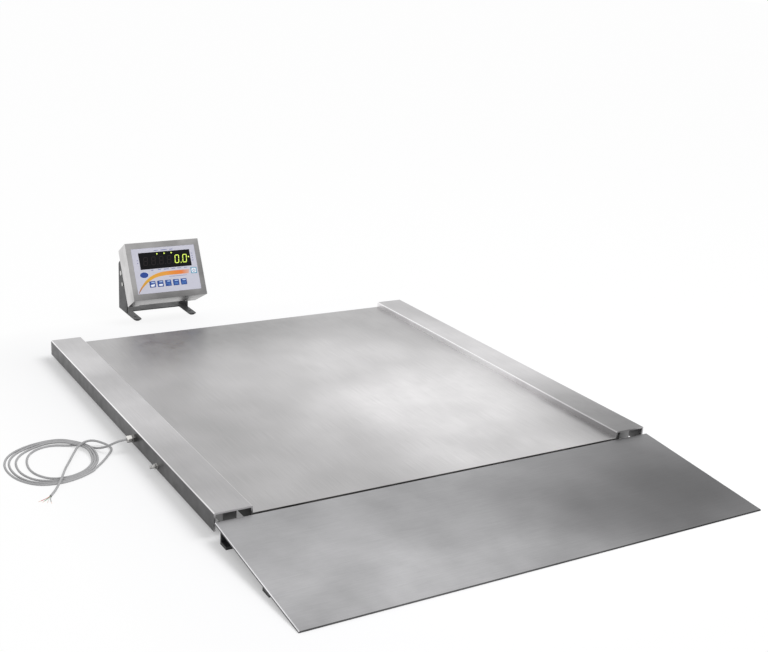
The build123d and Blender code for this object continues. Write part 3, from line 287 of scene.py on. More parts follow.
def brushedSteel(name, tone, tint=(1.0, 1.0, 1.0), grain=(1.0, 0.02, 1.0), grainScale=900.0, grainAmount=0.06,
                 mottleScale=3.0, mottleAmount=0.1, roughness=0.36, roughSpread=0.08, walls=None, paintedFoldHighlight=None,
                 turn=(0.0, 0.0, 0.0), paintedLightOvals=(), paintedInnerWallLight=None, paintedSideLight=0.0):
    # tone is the grey of the sheet; the wall tone is painted shade on its outer upright sides and on faces that look
    # down, the inner wall tone painted light on upright faces that look in, the fold tone a painted highlight on its
    # rounded edges; the ovals add painted highlights and painted shade, and the side gain adds painted light on faces
    # turned sideways
    material, nodes, links, shader = newFinish(name)
    grainNoise = objectNoise(nodes, links, grainScale, grain, 3.0, turn)
    cloud = objectNoise(nodes, links, mottleScale, detail=2.0)
    blotch = objectNoise(nodes, links, mottleScale * 7.0, detail=5.0)
    value = combine(nodes, links, spread(nodes, links, grainNoise, 1 - grainAmount, 1 + grainAmount),
                    spread(nodes, links, cloud, 1 - mottleAmount, 1 + mottleAmount), "MULTIPLY")
    value = combine(nodes, links, value, spread(nodes, links, blotch, 1 - mottleAmount / 3, 1 + mottleAmount / 3),
                    "MULTIPLY")
    # painted highlights and painted shade: soft ovals that brighten or darken the sheet where they lie
    if paintedLightOvals:
        value = combine(nodes, links, value, paintedLightTone(nodes, links, paintedLightOvals), "MULTIPLY")
    # painted light: faces turned sideways are made brighter, by up to this share
    if paintedSideLight:
        turned = nodes.new("ShaderNodeSeparateXYZ")
        links.new(nodes.new("ShaderNodeNewGeometry").outputs["Normal"], turned.inputs[0])
        sideways = combine(nodes, links, turned.outputs["X"], 0.0, "ABSOLUTE")
        gain = spread(nodes, links, sideways, 1.0, 1.0 + paintedSideLight, 0.3, 0.8)
        value = combine(nodes, links, value, gain, "MULTIPLY")
    # painted shade by facing, when a wall tone is given: faces that do not look up get the dark wall tone, faces that
    # look up keep the sheet's own tone
    if walls is None:
        value = combine(nodes, links, value, tone, "MULTIPLY")
    else:
        facing = nodes.new("ShaderNodeNewGeometry")
        split = nodes.new("ShaderNodeSeparateXYZ")
        links.new(facing.outputs["Normal"], split.inputs[0])
        upright = combine(nodes, links, split.outputs["Z"], 0.0, "MAXIMUM")
        shades = nodes.new("ShaderNodeValToRGB")
        shades.color_ramp.elements[0].position = 0.1
        shades.color_ramp.elements[0].color = (walls, walls, walls, 1.0)
        shades.color_ramp.elements[1].position = 0.99
        shades.color_ramp.elements[1].color = (tone, tone, tone, 1.0)
        # painted highlight: a bright band on the rounded edges between the walls and the top
        if paintedFoldHighlight is not None:
            for position in (0.45, 0.93):
                rounded = shades.color_ramp.elements.new(position)
                rounded.color = (paintedFoldHighlight, paintedFoldHighlight, paintedFoldHighlight, 1.0)
        links.new(upright, shades.inputs[0])
        shade = shades.outputs[0]
        # painted light: upright faces that look in towards the middle are lifted from the wall tone to the inner wall
        # tone
        if paintedInnerWallLight is not None:
            outward = outwardShare(nodes, links, split)
            flat = combine(nodes, links, upright, 0.45, "GREATER_THAN")
            dark = combine(nodes, links, outward, flat, "MAXIMUM")
            lift = combine(nodes, links, combine(nodes, links, 1.0, dark, "SUBTRACT"), paintedInnerWallLight - walls, "MULTIPLY")
            shade = combine(nodes, links, shade, lift, "ADD")
        value = combine(nodes, links, value, shade, "MULTIPLY")
    links.new(tinted(nodes, links, value, tint), shader.inputs["Base Color"])
    links.new(spread(nodes, links, blotch, roughness - roughSpread, roughness + roughSpread),
              shader.inputs["Roughness"])
    shader.inputs["Metallic"].default_value = 1.0
    grainBump(nodes, links, shader, grainNoise, 0.12, 0.0002)
    return material


def plainMetal(name, tone, tint=(1.0, 1.0, 1.0), roughness=0.25, scale=60.0, paintedUnderShade=None, thread=None):
    # turned or plated metal with faint staining; the tone given for below is painted shade on its downward faces,
    # thread the axis and pitch of one
    material, nodes, links, shader = newFinish(name)
    stain = objectNoise(nodes, links, scale, detail=5.0)
    value = spread(nodes, links, stain, tone * 0.86, tone * 1.08)
    # painted shade: the tone falls from its own to the one below as the faces turn down
    if paintedUnderShade is not None:
        facing = nodes.new("ShaderNodeSeparateXYZ")
        links.new(nodes.new("ShaderNodeNewGeometry").outputs["Normal"], facing.inputs[0])
        value = combine(nodes, links, value, spread(nodes, links, facing.outputs["Z"], paintedUnderShade / tone, 1.0, -0.7, 0.4),
                        "MULTIPLY")
    if thread is not None:
        axes = nodes.new("ShaderNodeSeparateXYZ")
        links.new(nodes.new("ShaderNodeTexCoord").outputs["Object"], axes.inputs[0])
        phase = combine(nodes, links, axes.outputs[thread[0]], 2 * math.pi / thread[1], "MULTIPLY")
        grainBump(nodes, links, shader, combine(nodes, links, phase, 0.0, "SINE"), 0.8, thread[1] * 0.3)
    links.new(tinted(nodes, links, value, tint), shader.inputs["Base Color"])
    links.new(spread(nodes, links, stain, roughness + 0.1, roughness - 0.04), shader.inputs["Roughness"])
    shader.inputs["Metallic"].default_value = 1.0
    return material


def mouldedPlastic(name, colour, roughness=0.5, texture=1400.0, depth=0.06, variation=0.08, coat=0.0,
                   gloss=0.5):
    material, nodes, links, shader = newFinish(name)
    fine = objectNoise(nodes, links, texture, detail=2.0)
    broad = objectNoise(nodes, links, 24.0, detail=3.0)
    links.new(tinted(nodes, links, spread(nodes, links, broad, 1 - variation, 1 + variation), colour),
              shader.inputs["Base Color"])
    links.new(spread(nodes, links, broad, roughness + 0.06, roughness - 0.06), shader.inputs["Roughness"])
    shader.inputs["Coat Weight"].default_value = coat
    shader.inputs["Specular IOR Level"].default_value = gloss
    grainBump(nodes, links, shader, fine, depth, 0.0001)
    return material


def litSegment(name, colour, strength):
    material, nodes, links, shader = newFinish(name)
    glow = objectNoise(nodes, links, 300.0, detail=1.0)
    light = tinted(nodes, links, spread(nodes, links, glow, 0.88, 1.0), colour)
    links.new(light, shader.inputs["Base Color"])
    links.new(light, shader.inputs["Emission Color"])
    shader.inputs["Emission Strength"].default_value = strength
    shader.inputs["Roughness"].default_value = 0.4
    return material


def bandInk(name, stops):
    # printed gradient that runs along the band's own U
    material, nodes, links, shader = newFinish(name)
    place = newNode(nodes, "ShaderNodeUVMap", uv_map="alongBand")
    split = nodes.new("ShaderNodeSeparateXYZ")
    ramp = nodes.new("ShaderNodeValToRGB")
    links.new(place.outputs[0], split.inputs[0])
    links.new(split.outputs["X"], ramp.inputs[0])
    while len(ramp.color_ramp.elements) < len(stops):
        ramp.color_ramp.elements.new(0.5)
    for element, (position, colour) in zip(ramp.color_ramp.elements, stops):
        element.position = position
        element.color = (*colour, 1.0)
    links.new(ramp.outputs[0], shader.inputs["Base Color"])
    shader.inputs["Roughness"].default_value = 0.42
    return material


caseTilt = math.radians(28.0)
# painted highlights and painted shade on the steel, oval by oval: a positive gain is a painted highlight or
# reflection, a negative one painted shade
paintedLightAndShade = {
    "deck": [((0.2, -0.2, 0.04), (0.62, 0.9, 1.0), 0.62), ((-0.05, 0.52, 0.04), (0.4, 0.26, 1.0), -0.3),
             ((0.5, -0.55, 0.04), (0.24, 0.4, 1.0), -0.25)],
    "beams": [((-0.555, -0.6, 0.05), (0.3, 0.6, 1.0), -0.25), ((0.555, -0.62, 0.05), (0.3, 0.6, 1.0), -0.6),
              ((0.555, 0.08, 0.05), (0.3, 0.5, 1.0), 0.3)],
    "ramp": [((0.5, -0.86, 0.02), (0.75, 0.6, 1.0), -0.7), ((-0.35, -0.95, 0.02), (0.4, 0.3, 1.0), 0.15)],
    "case": [((-0.15, 0.815, 0.085), (0.25, 0.05, 0.05), -0.5), ((-0.03, 0.86, 0.16), (0.03, 0.12, 0.14), -0.35)],
}
finishes = {
    "deckSteel": brushedSteel("deckSteel", 0.46, (1.0, 0.985, 0.99), mottleScale=3.4, mottleAmount=0.13,
                              grainScale=500.0, paintedLightOvals=paintedLightAndShade["deck"]),
    # painted shade on the beams' outer sides and lower faces, painted light on their inward sides, and a painted
    # highlight along their rounded edges
    "beamSteel": brushedSteel("beamSteel", 0.55, (1.0, 0.985, 0.995), walls=0.1, paintedFoldHighlight=0.98, mottleScale=4.5,
                              mottleAmount=0.12, paintedLightOvals=paintedLightAndShade["beams"], paintedInnerWallLight=0.85),
    # painted shade on the ramp's upright and lower faces, and a painted highlight along its rounded edges
    "rampSteel": brushedSteel("rampSteel", 0.42, (0.985, 0.98, 1.0), grain=(0.02, 1.0, 1.0), walls=0.1, paintedFoldHighlight=0.8,
                              mottleScale=3.6, mottleAmount=0.18, paintedLightOvals=paintedLightAndShade["ramp"]),
    "frameSteel": brushedSteel("frameSteel", 0.3, mottleScale=8.0, grainScale=300.0),
    # painted light on the case's sideways faces, and painted shade in two ovals on it
    "caseSteel": brushedSteel("caseSteel", 0.36, (1.0, 0.985, 0.985), grain=(0.03, 1.0, 1.0), mottleScale=14.0,
                              mottleAmount=0.14, turn=(-caseTilt, 0.0, 0.0), paintedLightOvals=paintedLightAndShade["case"],
                              paintedSideLight=0.7),
    # painted shade: the load cells get a darker steel so that they read as sitting in shade inside the beams
    "cellSteelPaintedShade": brushedSteel("cellSteelPaintedShade", 0.26, mottleScale=20.0, grainScale=700.0),
    "zinc": plainMetal("zinc", 0.55, (0.98, 0.98, 0.94), 0.34),
    # painted shade on the downward faces of the nickel and bright steel fittings
    "nickel": plainMetal("nickel", 0.85, (1.0, 0.98, 0.95), 0.2, paintedUnderShade=0.06),
    "darkNickel": plainMetal("darkNickel", 0.3, (1.0, 0.98, 0.95), 0.26, paintedUnderShade=0.03),
    "brightSteel": plainMetal("brightSteel", 0.75, (1.0, 0.99, 0.97), 0.22, paintedUnderShade=0.2),
    "studThread": plainMetal("studThread", 0.72, (1.0, 0.99, 0.97), 0.24, paintedUnderShade=0.2, thread=("X", 0.00125)),
    "footThread": plainMetal("footThread", 0.5, (0.98, 0.98, 0.94), 0.34, thread=("Z", 0.00175)),
    "blackPaint": mouldedPlastic("blackPaint", (0.02, 0.02, 0.022), 0.5, 900.0, 0.2),
    "powderCoat": mouldedPlastic("powderCoat", (0.03, 0.03, 0.032), 0.45, 1100.0, 0.3),
    "blackRubber": mouldedPlastic("blackRubber", (0.022, 0.022, 0.022), 0.75, 500.0, 0.2),
    "blackNylon": mouldedPlastic("blackNylon", (0.03, 0.03, 0.03), 0.45),
    "boxPlastic": mouldedPlastic("boxPlastic", (0.2, 0.21, 0.22), 0.5),
    "circuitBoard": mouldedPlastic("circuitBoard", (0.02, 0.14, 0.06), 0.35, 300.0, 0.05, 0.2),
    "terminalPlastic": mouldedPlastic("terminalPlastic", (0.04, 0.26, 0.1), 0.45),
    "cableSheath": mouldedPlastic("cableSheath", (0.37, 0.37, 0.375), 0.5, 260.0, 0.08, 0.06, gloss=0.3),
    "panelFilm": mouldedPlastic("panelFilm", (0.53, 0.53, 0.61), 0.42, 1800.0, 0.05, 0.025),
    "smokedWindow": mouldedPlastic("smokedWindow", (0.005, 0.005, 0.006), 0.22, 400.0, 0.01, 0.3, gloss=0.1),
    "moduleGrey": mouldedPlastic("moduleGrey", (0.05, 0.05, 0.05), 0.5),
    "keyBlue": mouldedPlastic("keyBlue", (0.01, 0.055, 0.26), 0.35, 1500.0, 0.05, 0.1),
    "keyTeal": mouldedPlastic("keyTeal", (0.05, 0.3, 0.5), 0.35, 1500.0, 0.05, 0.1),
    "windingTape": mouldedPlastic("windingTape", (0.45, 0.34, 0.06), 0.4),
    "batteryCase": mouldedPlastic("batteryCase", (0.06, 0.06, 0.07), 0.5),
    "paleInk": mouldedPlastic("paleInk", (0.72, 0.78, 0.9), 0.45),
    "blueInk": mouldedPlastic("blueInk", (0.01, 0.045, 0.25), 0.4),
    "whiteInk": mouldedPlastic("whiteInk", (0.82, 0.86, 0.92), 0.4),
    "paleBlueInk": mouldedPlastic("paleBlueInk", (0.42, 0.55, 0.78), 0.4),
    "midBlueInk": mouldedPlastic("midBlueInk", (0.12, 0.3, 0.62), 0.4),
    "tealInk": mouldedPlastic("tealInk", (0.16, 0.42, 0.5), 0.4),
    "markInk": mouldedPlastic("markInk", (0.1, 0.12, 0.3), 0.5),
    "redCore": mouldedPlastic("redCore", (0.5, 0.03, 0.025), 0.4),
    "greenCore": mouldedPlastic("greenCore", (0.04, 0.28, 0.08), 0.4),
    "blackCore": mouldedPlastic("blackCore", (0.025, 0.025, 0.025), 0.4),
    "whiteCore": mouldedPlastic("whiteCore", (0.66, 0.66, 0.64), 0.4),
    "copper": plainMetal("copper", 0.85, (1.0, 0.62, 0.42), 0.3),
    "litGreen": litSegment("litGreen", (0.66, 0.84, 0.12), 0.62),
    "unlitSegment": mouldedPlastic("unlitSegment", (0.022, 0.018, 0.019), 0.35, gloss=0.1),
    "orangeInk": bandInk("orangeInk", [(0.0, (0.16, 0.06, 0.03)), (0.2, (0.5, 0.2, 0.04)),
                                       (0.45, (0.66, 0.36, 0.03)), (0.75, (0.7, 0.3, 0.04)),
                                       (0.93, (0.72, 0.18, 0.03)), (1.0, (0.62, 0.38, 0.3))]),
}

nodeFinishes = {
    "deckSteel": ["deck_plate"],
    "beamSteel": ["side_beam_left", "side_beam_right"],
    "rampSteel": ["ramp_plate"],
    "frameSteel": ["deck_ribs", "edge_bars", "cell_blocks", "ramp_locators", "cross_conduit"],
    "caseSteel": ["case_hood", "rear_cover"],
    "cellSteelPaintedShade": ["load_cells"],
    "zinc": ["load_cell_bolts", "foot_locknuts", "junction_screws", "cover_screws", "pivot_bolts"],
    "footThread": ["foot_front_left", "foot_front_right", "foot_rear_left", "foot_rear_right"],
    "nickel": ["gland_cap", "junction_glands"],
    "darkNickel": ["cable_gland"],
    "brightSteel": ["earth_nut"],
    "studThread": ["earth_stud"],
    "blackPaint": ["ramp_supports", "ramp_sockets"],
    "powderCoat": ["bracket"],
    "blackRubber": ["ramp_rubbers", "bracket_feet", "junction_gasket", "cover_gasket"],
    "blackNylon": ["cable_clips", "rear_glands", "tact_switches"],
    "boxPlastic": ["junction_box", "junction_lid"],
    "circuitBoard": ["junction_board", "main_board"],
    "terminalPlastic": ["terminal_blocks"],
    "cableSheath": ["cell_cables"],
    "panelFilm": ["membrane_panel"],
    "smokedWindow": ["display_window"],
    "moduleGrey": ["digit_modules"],
    "litGreen": ["status_leds"],
    "keyBlue": ["key_1", "key_2", "key_3", "key_4", "key_5"],
    "keyTeal": ["power_key"],
    "windingTape": ["power_supply"],
    "batteryCase": ["battery"],
}
for finishName, nodeNames in nodeFinishes.items():
    for nodeName in nodeNames:
        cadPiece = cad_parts[nodeName]
        for materialSlot in cadPiece.material_slots:
            materialSlot.material = finishes[finishName]
print("stage: finishes on the packed pieces")


# Making meshes
def meshPiece(name, verts, faces, finish, body):
    mesh = bpy.data.meshes.new(name)
    mesh.from_pydata(np.asarray(verts).tolist(), [], [list(face) for face in faces])
    mesh.validate()
    mesh.update()
    piece = bpy.data.objects.new(name, mesh)
    scene.collection.objects.link(piece)
    mesh.materials.append(finish)
    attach(piece, body)
    return piece


def slabs(outlines, front, back):
    # every outline in x and z drawn straight back from one depth to another, and closed at both ends
    verts, faces, start = [], [], 0
    for outline in outlines:
        ring = np.asarray(outline, float)
        count = len(ring)
        for depth in (front, back):
            verts.append(np.column_stack([ring[:, 0], np.full(count, depth), ring[:, 1]]))
        here = np.arange(start, start + count)
        after = np.roll(here, -1)
        faces.append(here.tolist())
        faces.append((here[::-1] + count).tolist())
        faces.extend(np.column_stack([here, here + count, after + count, after]).tolist())
        start += 2 * count
    return np.vstack(verts), faces


def roundedBox(middle, width, height, radius, steps=6):
    # the four corner centres, each with a quarter circle, anticlockwise
    quarter = np.linspace(0.0, np.pi / 2, steps)
    turns = (quarter[None, :] + np.array([0, 1, 2, 3])[:, None] * np.pi / 2).ravel()
    signs = np.repeat(np.array([[1, 1], [-1, 1], [-1, -1], [1, -1]]), steps, axis=0)
    corner = signs * (np.array([width, height]) / 2 - radius)
    return np.array(middle) + corner + radius * np.column_stack([np.cos(turns), np.sin(turns)])


def oval(middle, width, height, count=48):
    turns = np.arange(count) * 2 * np.pi / count
    return np.array(middle) + np.column_stack([np.cos(turns) * width, np.sin(turns) * height]) / 2


def arcBand(middle, radius, width, first, last, count=32):
    # out along the outer arc and back along the inner one
    turns = np.radians(np.linspace(first, last, count))
    unit = np.column_stack([np.cos(turns), np.sin(turns)])
    ring = np.vstack([unit * (radius + width / 2), unit[::-1] * (radius - width / 2)])
    return np.array(middle) + ring


def pointedBar(start, end, width, gap):
    # a six-sided stroke between two corners of a digit, with a little air at each point
    start, end = np.array(start, float), np.array(end, float)
    along = (end - start) / np.linalg.norm(end - start)
    across = np.array([-along[1], along[0]]) * width / 2
    tip, shoulder = along * gap, along * (gap + width / 2)
    return np.array([start + tip, start + shoulder - across, end - shoulder - across, end - tip,
                     end - shoulder + across, start + shoulder + across])


def smoothLine(points, count):
    # a Catmull-Rom curve through the points, each span a cubic of its four nearest points
    points = np.array(points, float)
    padded = np.vstack([2 * points[0] - points[1], points, 2 * points[-1] - points[-2]])
    place = np.linspace(0.0, len(points) - 1.000001, count)
    span = place.astype(int)
    part = (place - span)[:, None]
    before, here, after, beyond = (padded[span + i] for i in range(4))
    return 0.5 * (2 * here + (after - before) * part + (2 * before - 5 * here + 4 * after - beyond) * part ** 2
                  + (3 * here - before - 3 * after + beyond) * part ** 3)


# Display housing: its own millimetres are x across, y in from the face, and z up along it
caseSettings = {
    "middle": -0.150,
    "pivot": (0.9715, 0.098),
    "pivotDepth": 131.0,
    "pivotRise": -10.0,
    "tilt": 28.0,
    "filmFront": 0.4,
    "keyFront": 0.1,
    "printHeight": 0.03,
    "printDepth": 0.05,
}


def onCase(points, settings=caseSettings):
    # turned about the tilt axis and set on it
    tilt = math.radians(settings["tilt"])
    across, depth, rise = np.asarray(points, float).T
    depth = depth - settings["pivotDepth"]
    rise = rise - settings["pivotRise"]
    y = settings["pivot"][0] + (math.cos(tilt) * depth + math.sin(tilt) * rise) * mm
    z = settings["pivot"][1] + (math.cos(tilt) * rise - math.sin(tilt) * depth) * mm
    return np.column_stack([settings["middle"] + across * mm, y, z])


def printed(name, outlines, finish, body="indicator_case", front=None, layer=1):
    # a thin raised print on the film, or on a key's face; a higher layer lies over a lower one
    if front is None:
        front = caseSettings["filmFront"]
    verts, faces = slabs(outlines, front - layer * caseSettings["printHeight"], front + caseSettings["printDepth"])
    return meshPiece(name, onCase(verts), faces, finishes[finish], body)


digitSettings = {
    "firstX": -65.4,
    "pitch": 26.8,
    "middleZ": 31.3,
    "width": 12.4,
    "height": 25.6,
    "stroke": 2.3,
    "gap": 0.35,
    "slant": 0.12,
    "shown": ["unlit", "unlit", "unlit", "unlit", "zero", "zero"],
    "pointAfter": 4,
    "pointOffset": (12.6, -12.6),
    "pointSize": 3.2,
    "lamps": [(-23.1, 53.5), (1.5, 53.5), (25.9, 53.5), (82.8, 35.3)],
    "lampSize": 4.4,
}


def digitStrokes(settings, column):
    # seven strokes over the corners of two squares, the tops leaning to the right
    halfWidth, halfHeight = settings["width"] / 2, settings["height"] / 2
    x, z = settings["firstX"] + settings["pitch"] * column, settings["middleZ"]
    spot = {(i, j): (i * halfWidth, j * halfHeight) for i in (-1, 1) for j in (-1, 0, 1)}
    ends = [((-1, 1), (1, 1)), ((1, 1), (1, 0)), ((1, 0), (1, -1)), ((-1, -1), (1, -1)),
            ((-1, 0), (-1, -1)), ((-1, 1), (-1, 0)), ((-1, 0), (1, 0))]
    strokes = [pointedBar(spot[start], spot[end], settings["stroke"], settings["gap"]) for start, end in ends]
    return [np.column_stack([x + bar[:, 0] + bar[:, 1] * settings["slant"], z + bar[:, 1]]) for bar in strokes]


def displayDigits(settings):
    lit, unlit = [], []
    for column, state in enumerate(settings["shown"]):
        strokes = digitStrokes(settings, column)
        x = settings["firstX"] + settings["pitch"] * column + settings["pointOffset"][0]
        point = oval((x, settings["middleZ"] + settings["pointOffset"][1]), *[settings["pointSize"]] * 2, 24)
        lit += strokes[:6] if state == "zero" else []
        unlit += strokes if state == "unlit" else strokes[6:]
        (lit if column == settings["pointAfter"] else unlit).append(point)
    lit += [oval(lamp, settings["lampSize"], settings["lampSize"], 28) for lamp in settings["lamps"]]
    printed("litDigits", lit, "litGreen")
    printed("unlitDigits", unlit, "unlitSegment")


bandSettings = {
    "lower": [(-105.0, -73.5), (-95.0, -61.0), (-84.5, -51.0), (-64.6, -36.0), (-41.0, -25.0), (-10.0, -20.4),
              (30.0, -20.0), (74.0, -20.0)],
    "upper": [(-105.8, -72.8), (-100.5, -62.0), (-93.5, -52.0), (-77.0, -34.0), (-53.0, -18.0), (-21.0, -8.4),
              (18.0, -6.6), (77.0, -6.8)],
    "steps": 64,
}


def curvedBand(settings):
    # a strip between its two edges, drawn back into the film, with how far along it is kept as U
    lower = smoothLine(settings["lower"], settings["steps"])
    upper = smoothLine(settings["upper"], settings["steps"])
    outline = np.vstack([lower, upper[::-1]])
    front = caseSettings["filmFront"]
    half = len(outline)
    count = settings["steps"]
    depths = np.repeat([front - caseSettings["printHeight"], front + caseSettings["printDepth"]], half)
    verts = np.column_stack([np.tile(outline[:, 0], 2), depths, np.tile(outline[:, 1], 2)])
    low = np.arange(count - 1)
    high = half - 1 - low
    strip = np.column_stack([low, low + 1, high - 1, high])
    ring = np.arange(half)
    after = np.roll(ring, -1)
    rim = np.column_stack([ring, ring + half, after + half, after])
    faces = np.vstack([strip, strip[:, ::-1] + half, rim]).tolist()
    piece = meshPiece("curvedBand", onCase(verts), faces, finishes["orangeInk"], "indicator_case")
    share = np.linspace(0.0, 1.0, count)
    along = np.tile(np.concatenate([share, share[::-1]]), 2)
    mesh = piece.data
    corner = np.empty(len(mesh.loops), int)
    mesh.loops.foreach_get("vertex_index", corner)
    layer = mesh.uv_layers.new(name="alongBand")
    layer.data.foreach_set("uv", np.column_stack([along[corner], np.zeros(len(corner))]).ravel())


filmSettings = {
    "badge": (-77.7, -13.5),
    "badgeSize": (28.0, 19.0),
    "badgeRim": 1.4,
    "marks": [(-25.0, 65.2, 13.0), (2.0, 65.2, 21.0), (27.0, 65.2, 12.0), (-48.0, 0.6, 8.0), (-24.0, 0.6, 9.0),
              (0.0, 0.6, 17.0), (24.0, 0.6, 13.0), (44.0, 0.6, 12.0), (66.0, 0.6, 10.0), (-92.5, 36.0, 3.6),
              (-92.5, 27.0, 4.4), (95.5, 46.0, 4.0), (95.5, 38.0, 4.2), (95.5, 30.5, 4.2), (95.5, 22.5, 7.0)],
    "markHeight": 1.9,
    "rule": (36.0, -25.0, 62.0, 1.1),
    "sideSpot": (70.0, -49.0, 5.0, 8.5),
}


def filmPrint(settings):
    rim = settings["badgeRim"]
    wide, high = settings["badgeSize"]
    printed("badgeRim", [oval(settings["badge"], wide + rim, high + rim)], "paleInk")
    printed("badge", [oval(settings["badge"], wide, high)], "blueInk", layer=2)
    marks = [roundedBox((x, z), width, settings["markHeight"], 0.6, 4) for x, z, width in settings["marks"]]
    printed("legendMarks", marks, "markInk")
    x, z, width, height = settings["rule"]
    printed("fineRule", [roundedBox((x, z), width, height, 0.5, 4)], "markInk")


keySettings = {
    "firstX": -54.8,
    "pitch": 26.7,
    "z": -46.0,
    "power": (93.0, -11.6),
    "rimSize": 17.4,
    "insetSize": 15.0,
    "symbolRadius": 4.0,
    "symbolWidth": 1.5,
}


def keyMarks(settings):
    # pale plain shapes: a bar above on every key, and its own shape below
    below = [
        [roundedBox((-0.3, -4.2), 13.0, 6.2, 2.8), roundedBox((4.4, -1.6), 4.4, 4.6, 1.4)],
        [roundedBox((0.4, -4.4), 13.6, 6.0, 2.8)],
        [roundedBox((-4.6, -0.6), 5.0, 1.5, 0.6, 4), roundedBox((1.2, -2.6), 1.5, 5.4, 0.6, 4),
         roundedBox((4.8, -5.0), 6.0, 1.5, 0.6, 4)],
        [roundedBox((0.0, -1.4), 12.0, 1.2, 0.5, 4), roundedBox((0.0, -5.4), 12.0, 1.2, 0.5, 4)],
        [roundedBox((x, z), 2.2, 2.2, 0.6, 4) for x in (-4.4, 0.0, 4.4) for z in (-1.8, -5.6)],
    ]
    for number, shapes in enumerate(below):
        middle = np.array([settings["firstX"] + settings["pitch"] * number, settings["z"]])
        bar = roundedBox((1.8, 5.8), 11.0, 3.0, 0.8, 4)
        body = f"key_{number + 1}"
        front = caseSettings["keyFront"]
        printed(f"keyBar{number + 1}", [middle + bar], "paleBlueInk", body, front)
        finish = "whiteInk" if number < 2 else "midBlueInk"
        printed(f"keySign{number + 1}", [middle + shape for shape in shapes], finish, body, front)


def powerMark(settings):
    # a white inset, and on it a ring open at the top with an upright bar
    middle = settings["power"]
    front = caseSettings["keyFront"]
    printed("powerRim", [roundedBox(middle, *[settings["rimSize"]] * 2, 2.6)], "tealInk", "power_key",
            front)
    printed("powerInset", [roundedBox(middle, *[settings["insetSize"]] * 2, 2.2)], "whiteInk", "power_key",
            front, layer=2)
    lower = (middle[0], middle[1] - 0.8)
    ring = arcBand(lower, settings["symbolRadius"], settings["symbolWidth"], -235.0, 55.0)
    upright = roundedBox((middle[0], middle[1] + 2.6), settings["symbolWidth"], 5.2, 0.7)
    printed("powerSymbol", [ring, upright], "blueInk", "power_key", front, layer=3)


displayDigits(digitSettings)
curvedBand(bandSettings)
filmPrint(filmSettings)
keyMarks(keySettings)
powerMark(keySettings)
print("stage: display face printed")


# Clamp thumbscrews: a knurled head and a plain shank, turned about the clamp's own line
clampSettings = {
    "line": (119.0, 25.0),
    "profile": [(97.0, 2.6), (97.4, 3.0), (107.6, 3.0), (107.6, 7.2), (108.4, 8.0), (109.0, 8.0), (111.6, 8.0),
                (114.3, 8.0), (114.9, 8.0), (115.7, 7.2), (115.7, 5.4), (115.2, 5.0)],
    "knurls": 44,
    "knurlDepth": 0.45,
    "knurlSpan": (108.9, 114.4),
    "stepsPerKnurl": 4,
}


def turnedPiece(profile, count, ripple):
    # rings of a profile's x and radius about the X axis, closed by a pole at each end
    profile = np.array(profile, float)
    turns = np.arange(count) * 2 * np.pi / count
    radius = profile[:, 1][:, None] + ripple(profile[:, 0][:, None], turns[None, :])
    grid = np.stack([np.broadcast_to(profile[:, 0][:, None], radius.shape), radius * np.cos(turns),
                     radius * np.sin(turns)], axis=-1).reshape(-1, 3)
    verts = np.vstack([grid, [profile[0, 0], 0.0, 0.0], [profile[-1, 0], 0.0, 0.0]])
    here = np.arange(len(grid)).reshape(len(profile), count)
    after = np.roll(here, -1, axis=1)
    sides = np.stack([here[:-1], after[:-1], after[1:], here[1:]], axis=-1).reshape(-1, 4).tolist()
    first = np.column_stack([np.full(count, len(grid)), after[0], here[0]]).tolist()
    last = np.column_stack([np.full(count, len(grid) + 1), here[-1], after[-1]]).tolist()
    return verts, sides + first + last


def clampScrew(settings, side, body):
    low, high = settings["knurlSpan"]

    def ripple(x, turns):
        inside = ((x > low) & (x < high)) * 1.0
        return -settings["knurlDepth"] * inside * (0.5 + 0.5 * np.cos(settings["knurls"] * turns))

    verts, faces = turnedPiece(settings["profile"], settings["knurls"] * settings["stepsPerKnurl"], ripple)
    verts = verts + np.array([0.0, *settings["line"]])
    if side < 0:
        verts = verts * np.array([-1.0, 1.0, 1.0])
        faces = [face[::-1] for face in faces]
    screw = meshPiece(body + "Knurled", onCase(verts), faces, finishes["brightSteel"], body)
    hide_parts(body)


clampScrew(clampSettings, -1, "clamp_screw_left")
clampScrew(clampSettings, 1, "clamp_screw_right")
print("stage: thumbscrews turned")


# Signal cable: one line from the gland, four loose turns on the floor, and the tail back over them
cableSettings = {
    "diameter": 0.0056,
    "exit": (-0.6215, -0.118, 0.033),
    "centre": (-161.0, 6.0),
    "firstAngle": 62.0,
    "lastAngle": 302.0,
    "turns": 3,
    "pointsPerTurn": 16,
    "pitch": 6.0,
    "innerGap": 3.4,
    "restHeight": -30.0,
    "lift": 5.9,
    "length": 3.0,
    "lead": [(0, 0, 0), (-14, 0, 0), (-30, 4, -6), (-46, 16, -18), (-60, 35, -27), (-73, 56, -30),
             (-87.4, 75, -30), (-103, 84, -30)],
    "tail": [(-97, -66, -30), (-73, -40, -30), (-49, -8, -30), (-29, 21, -30), (-28.5, 43, -29),
             (-41, 61, -25.5), (-61, 68, -18), (-83, 62, -15), (-106, 45, -15.6), (-126, 20, -25),
             (-143, -6, -30), (-159, -36, -28), (-172, -66, -23.5), (-185, -95, -22.6), (-199, -122, -23.4),
             (-213, -144, -27.5), (-225, -159, -29.9), (-233, -169, -30)],
    "inner": [(-110, 70), (-140, 98), (-172, 100), (-204, 84), (-222, 50), (-232, 0), (-226, -46),
              (-204, -78), (-170, -84), (-136, -70), (-108, -38), (-94, 4), (-94, 42)],
    "outer": [(-88, 90), (-130, 130), (-190, 134), (-250, 112), (-288, 62), (-297, 0), (-285, -62),
              (-250, -110), (-200, -122), (-140, -104), (-92, -62), (-68, 0), (-68, 52)],
}


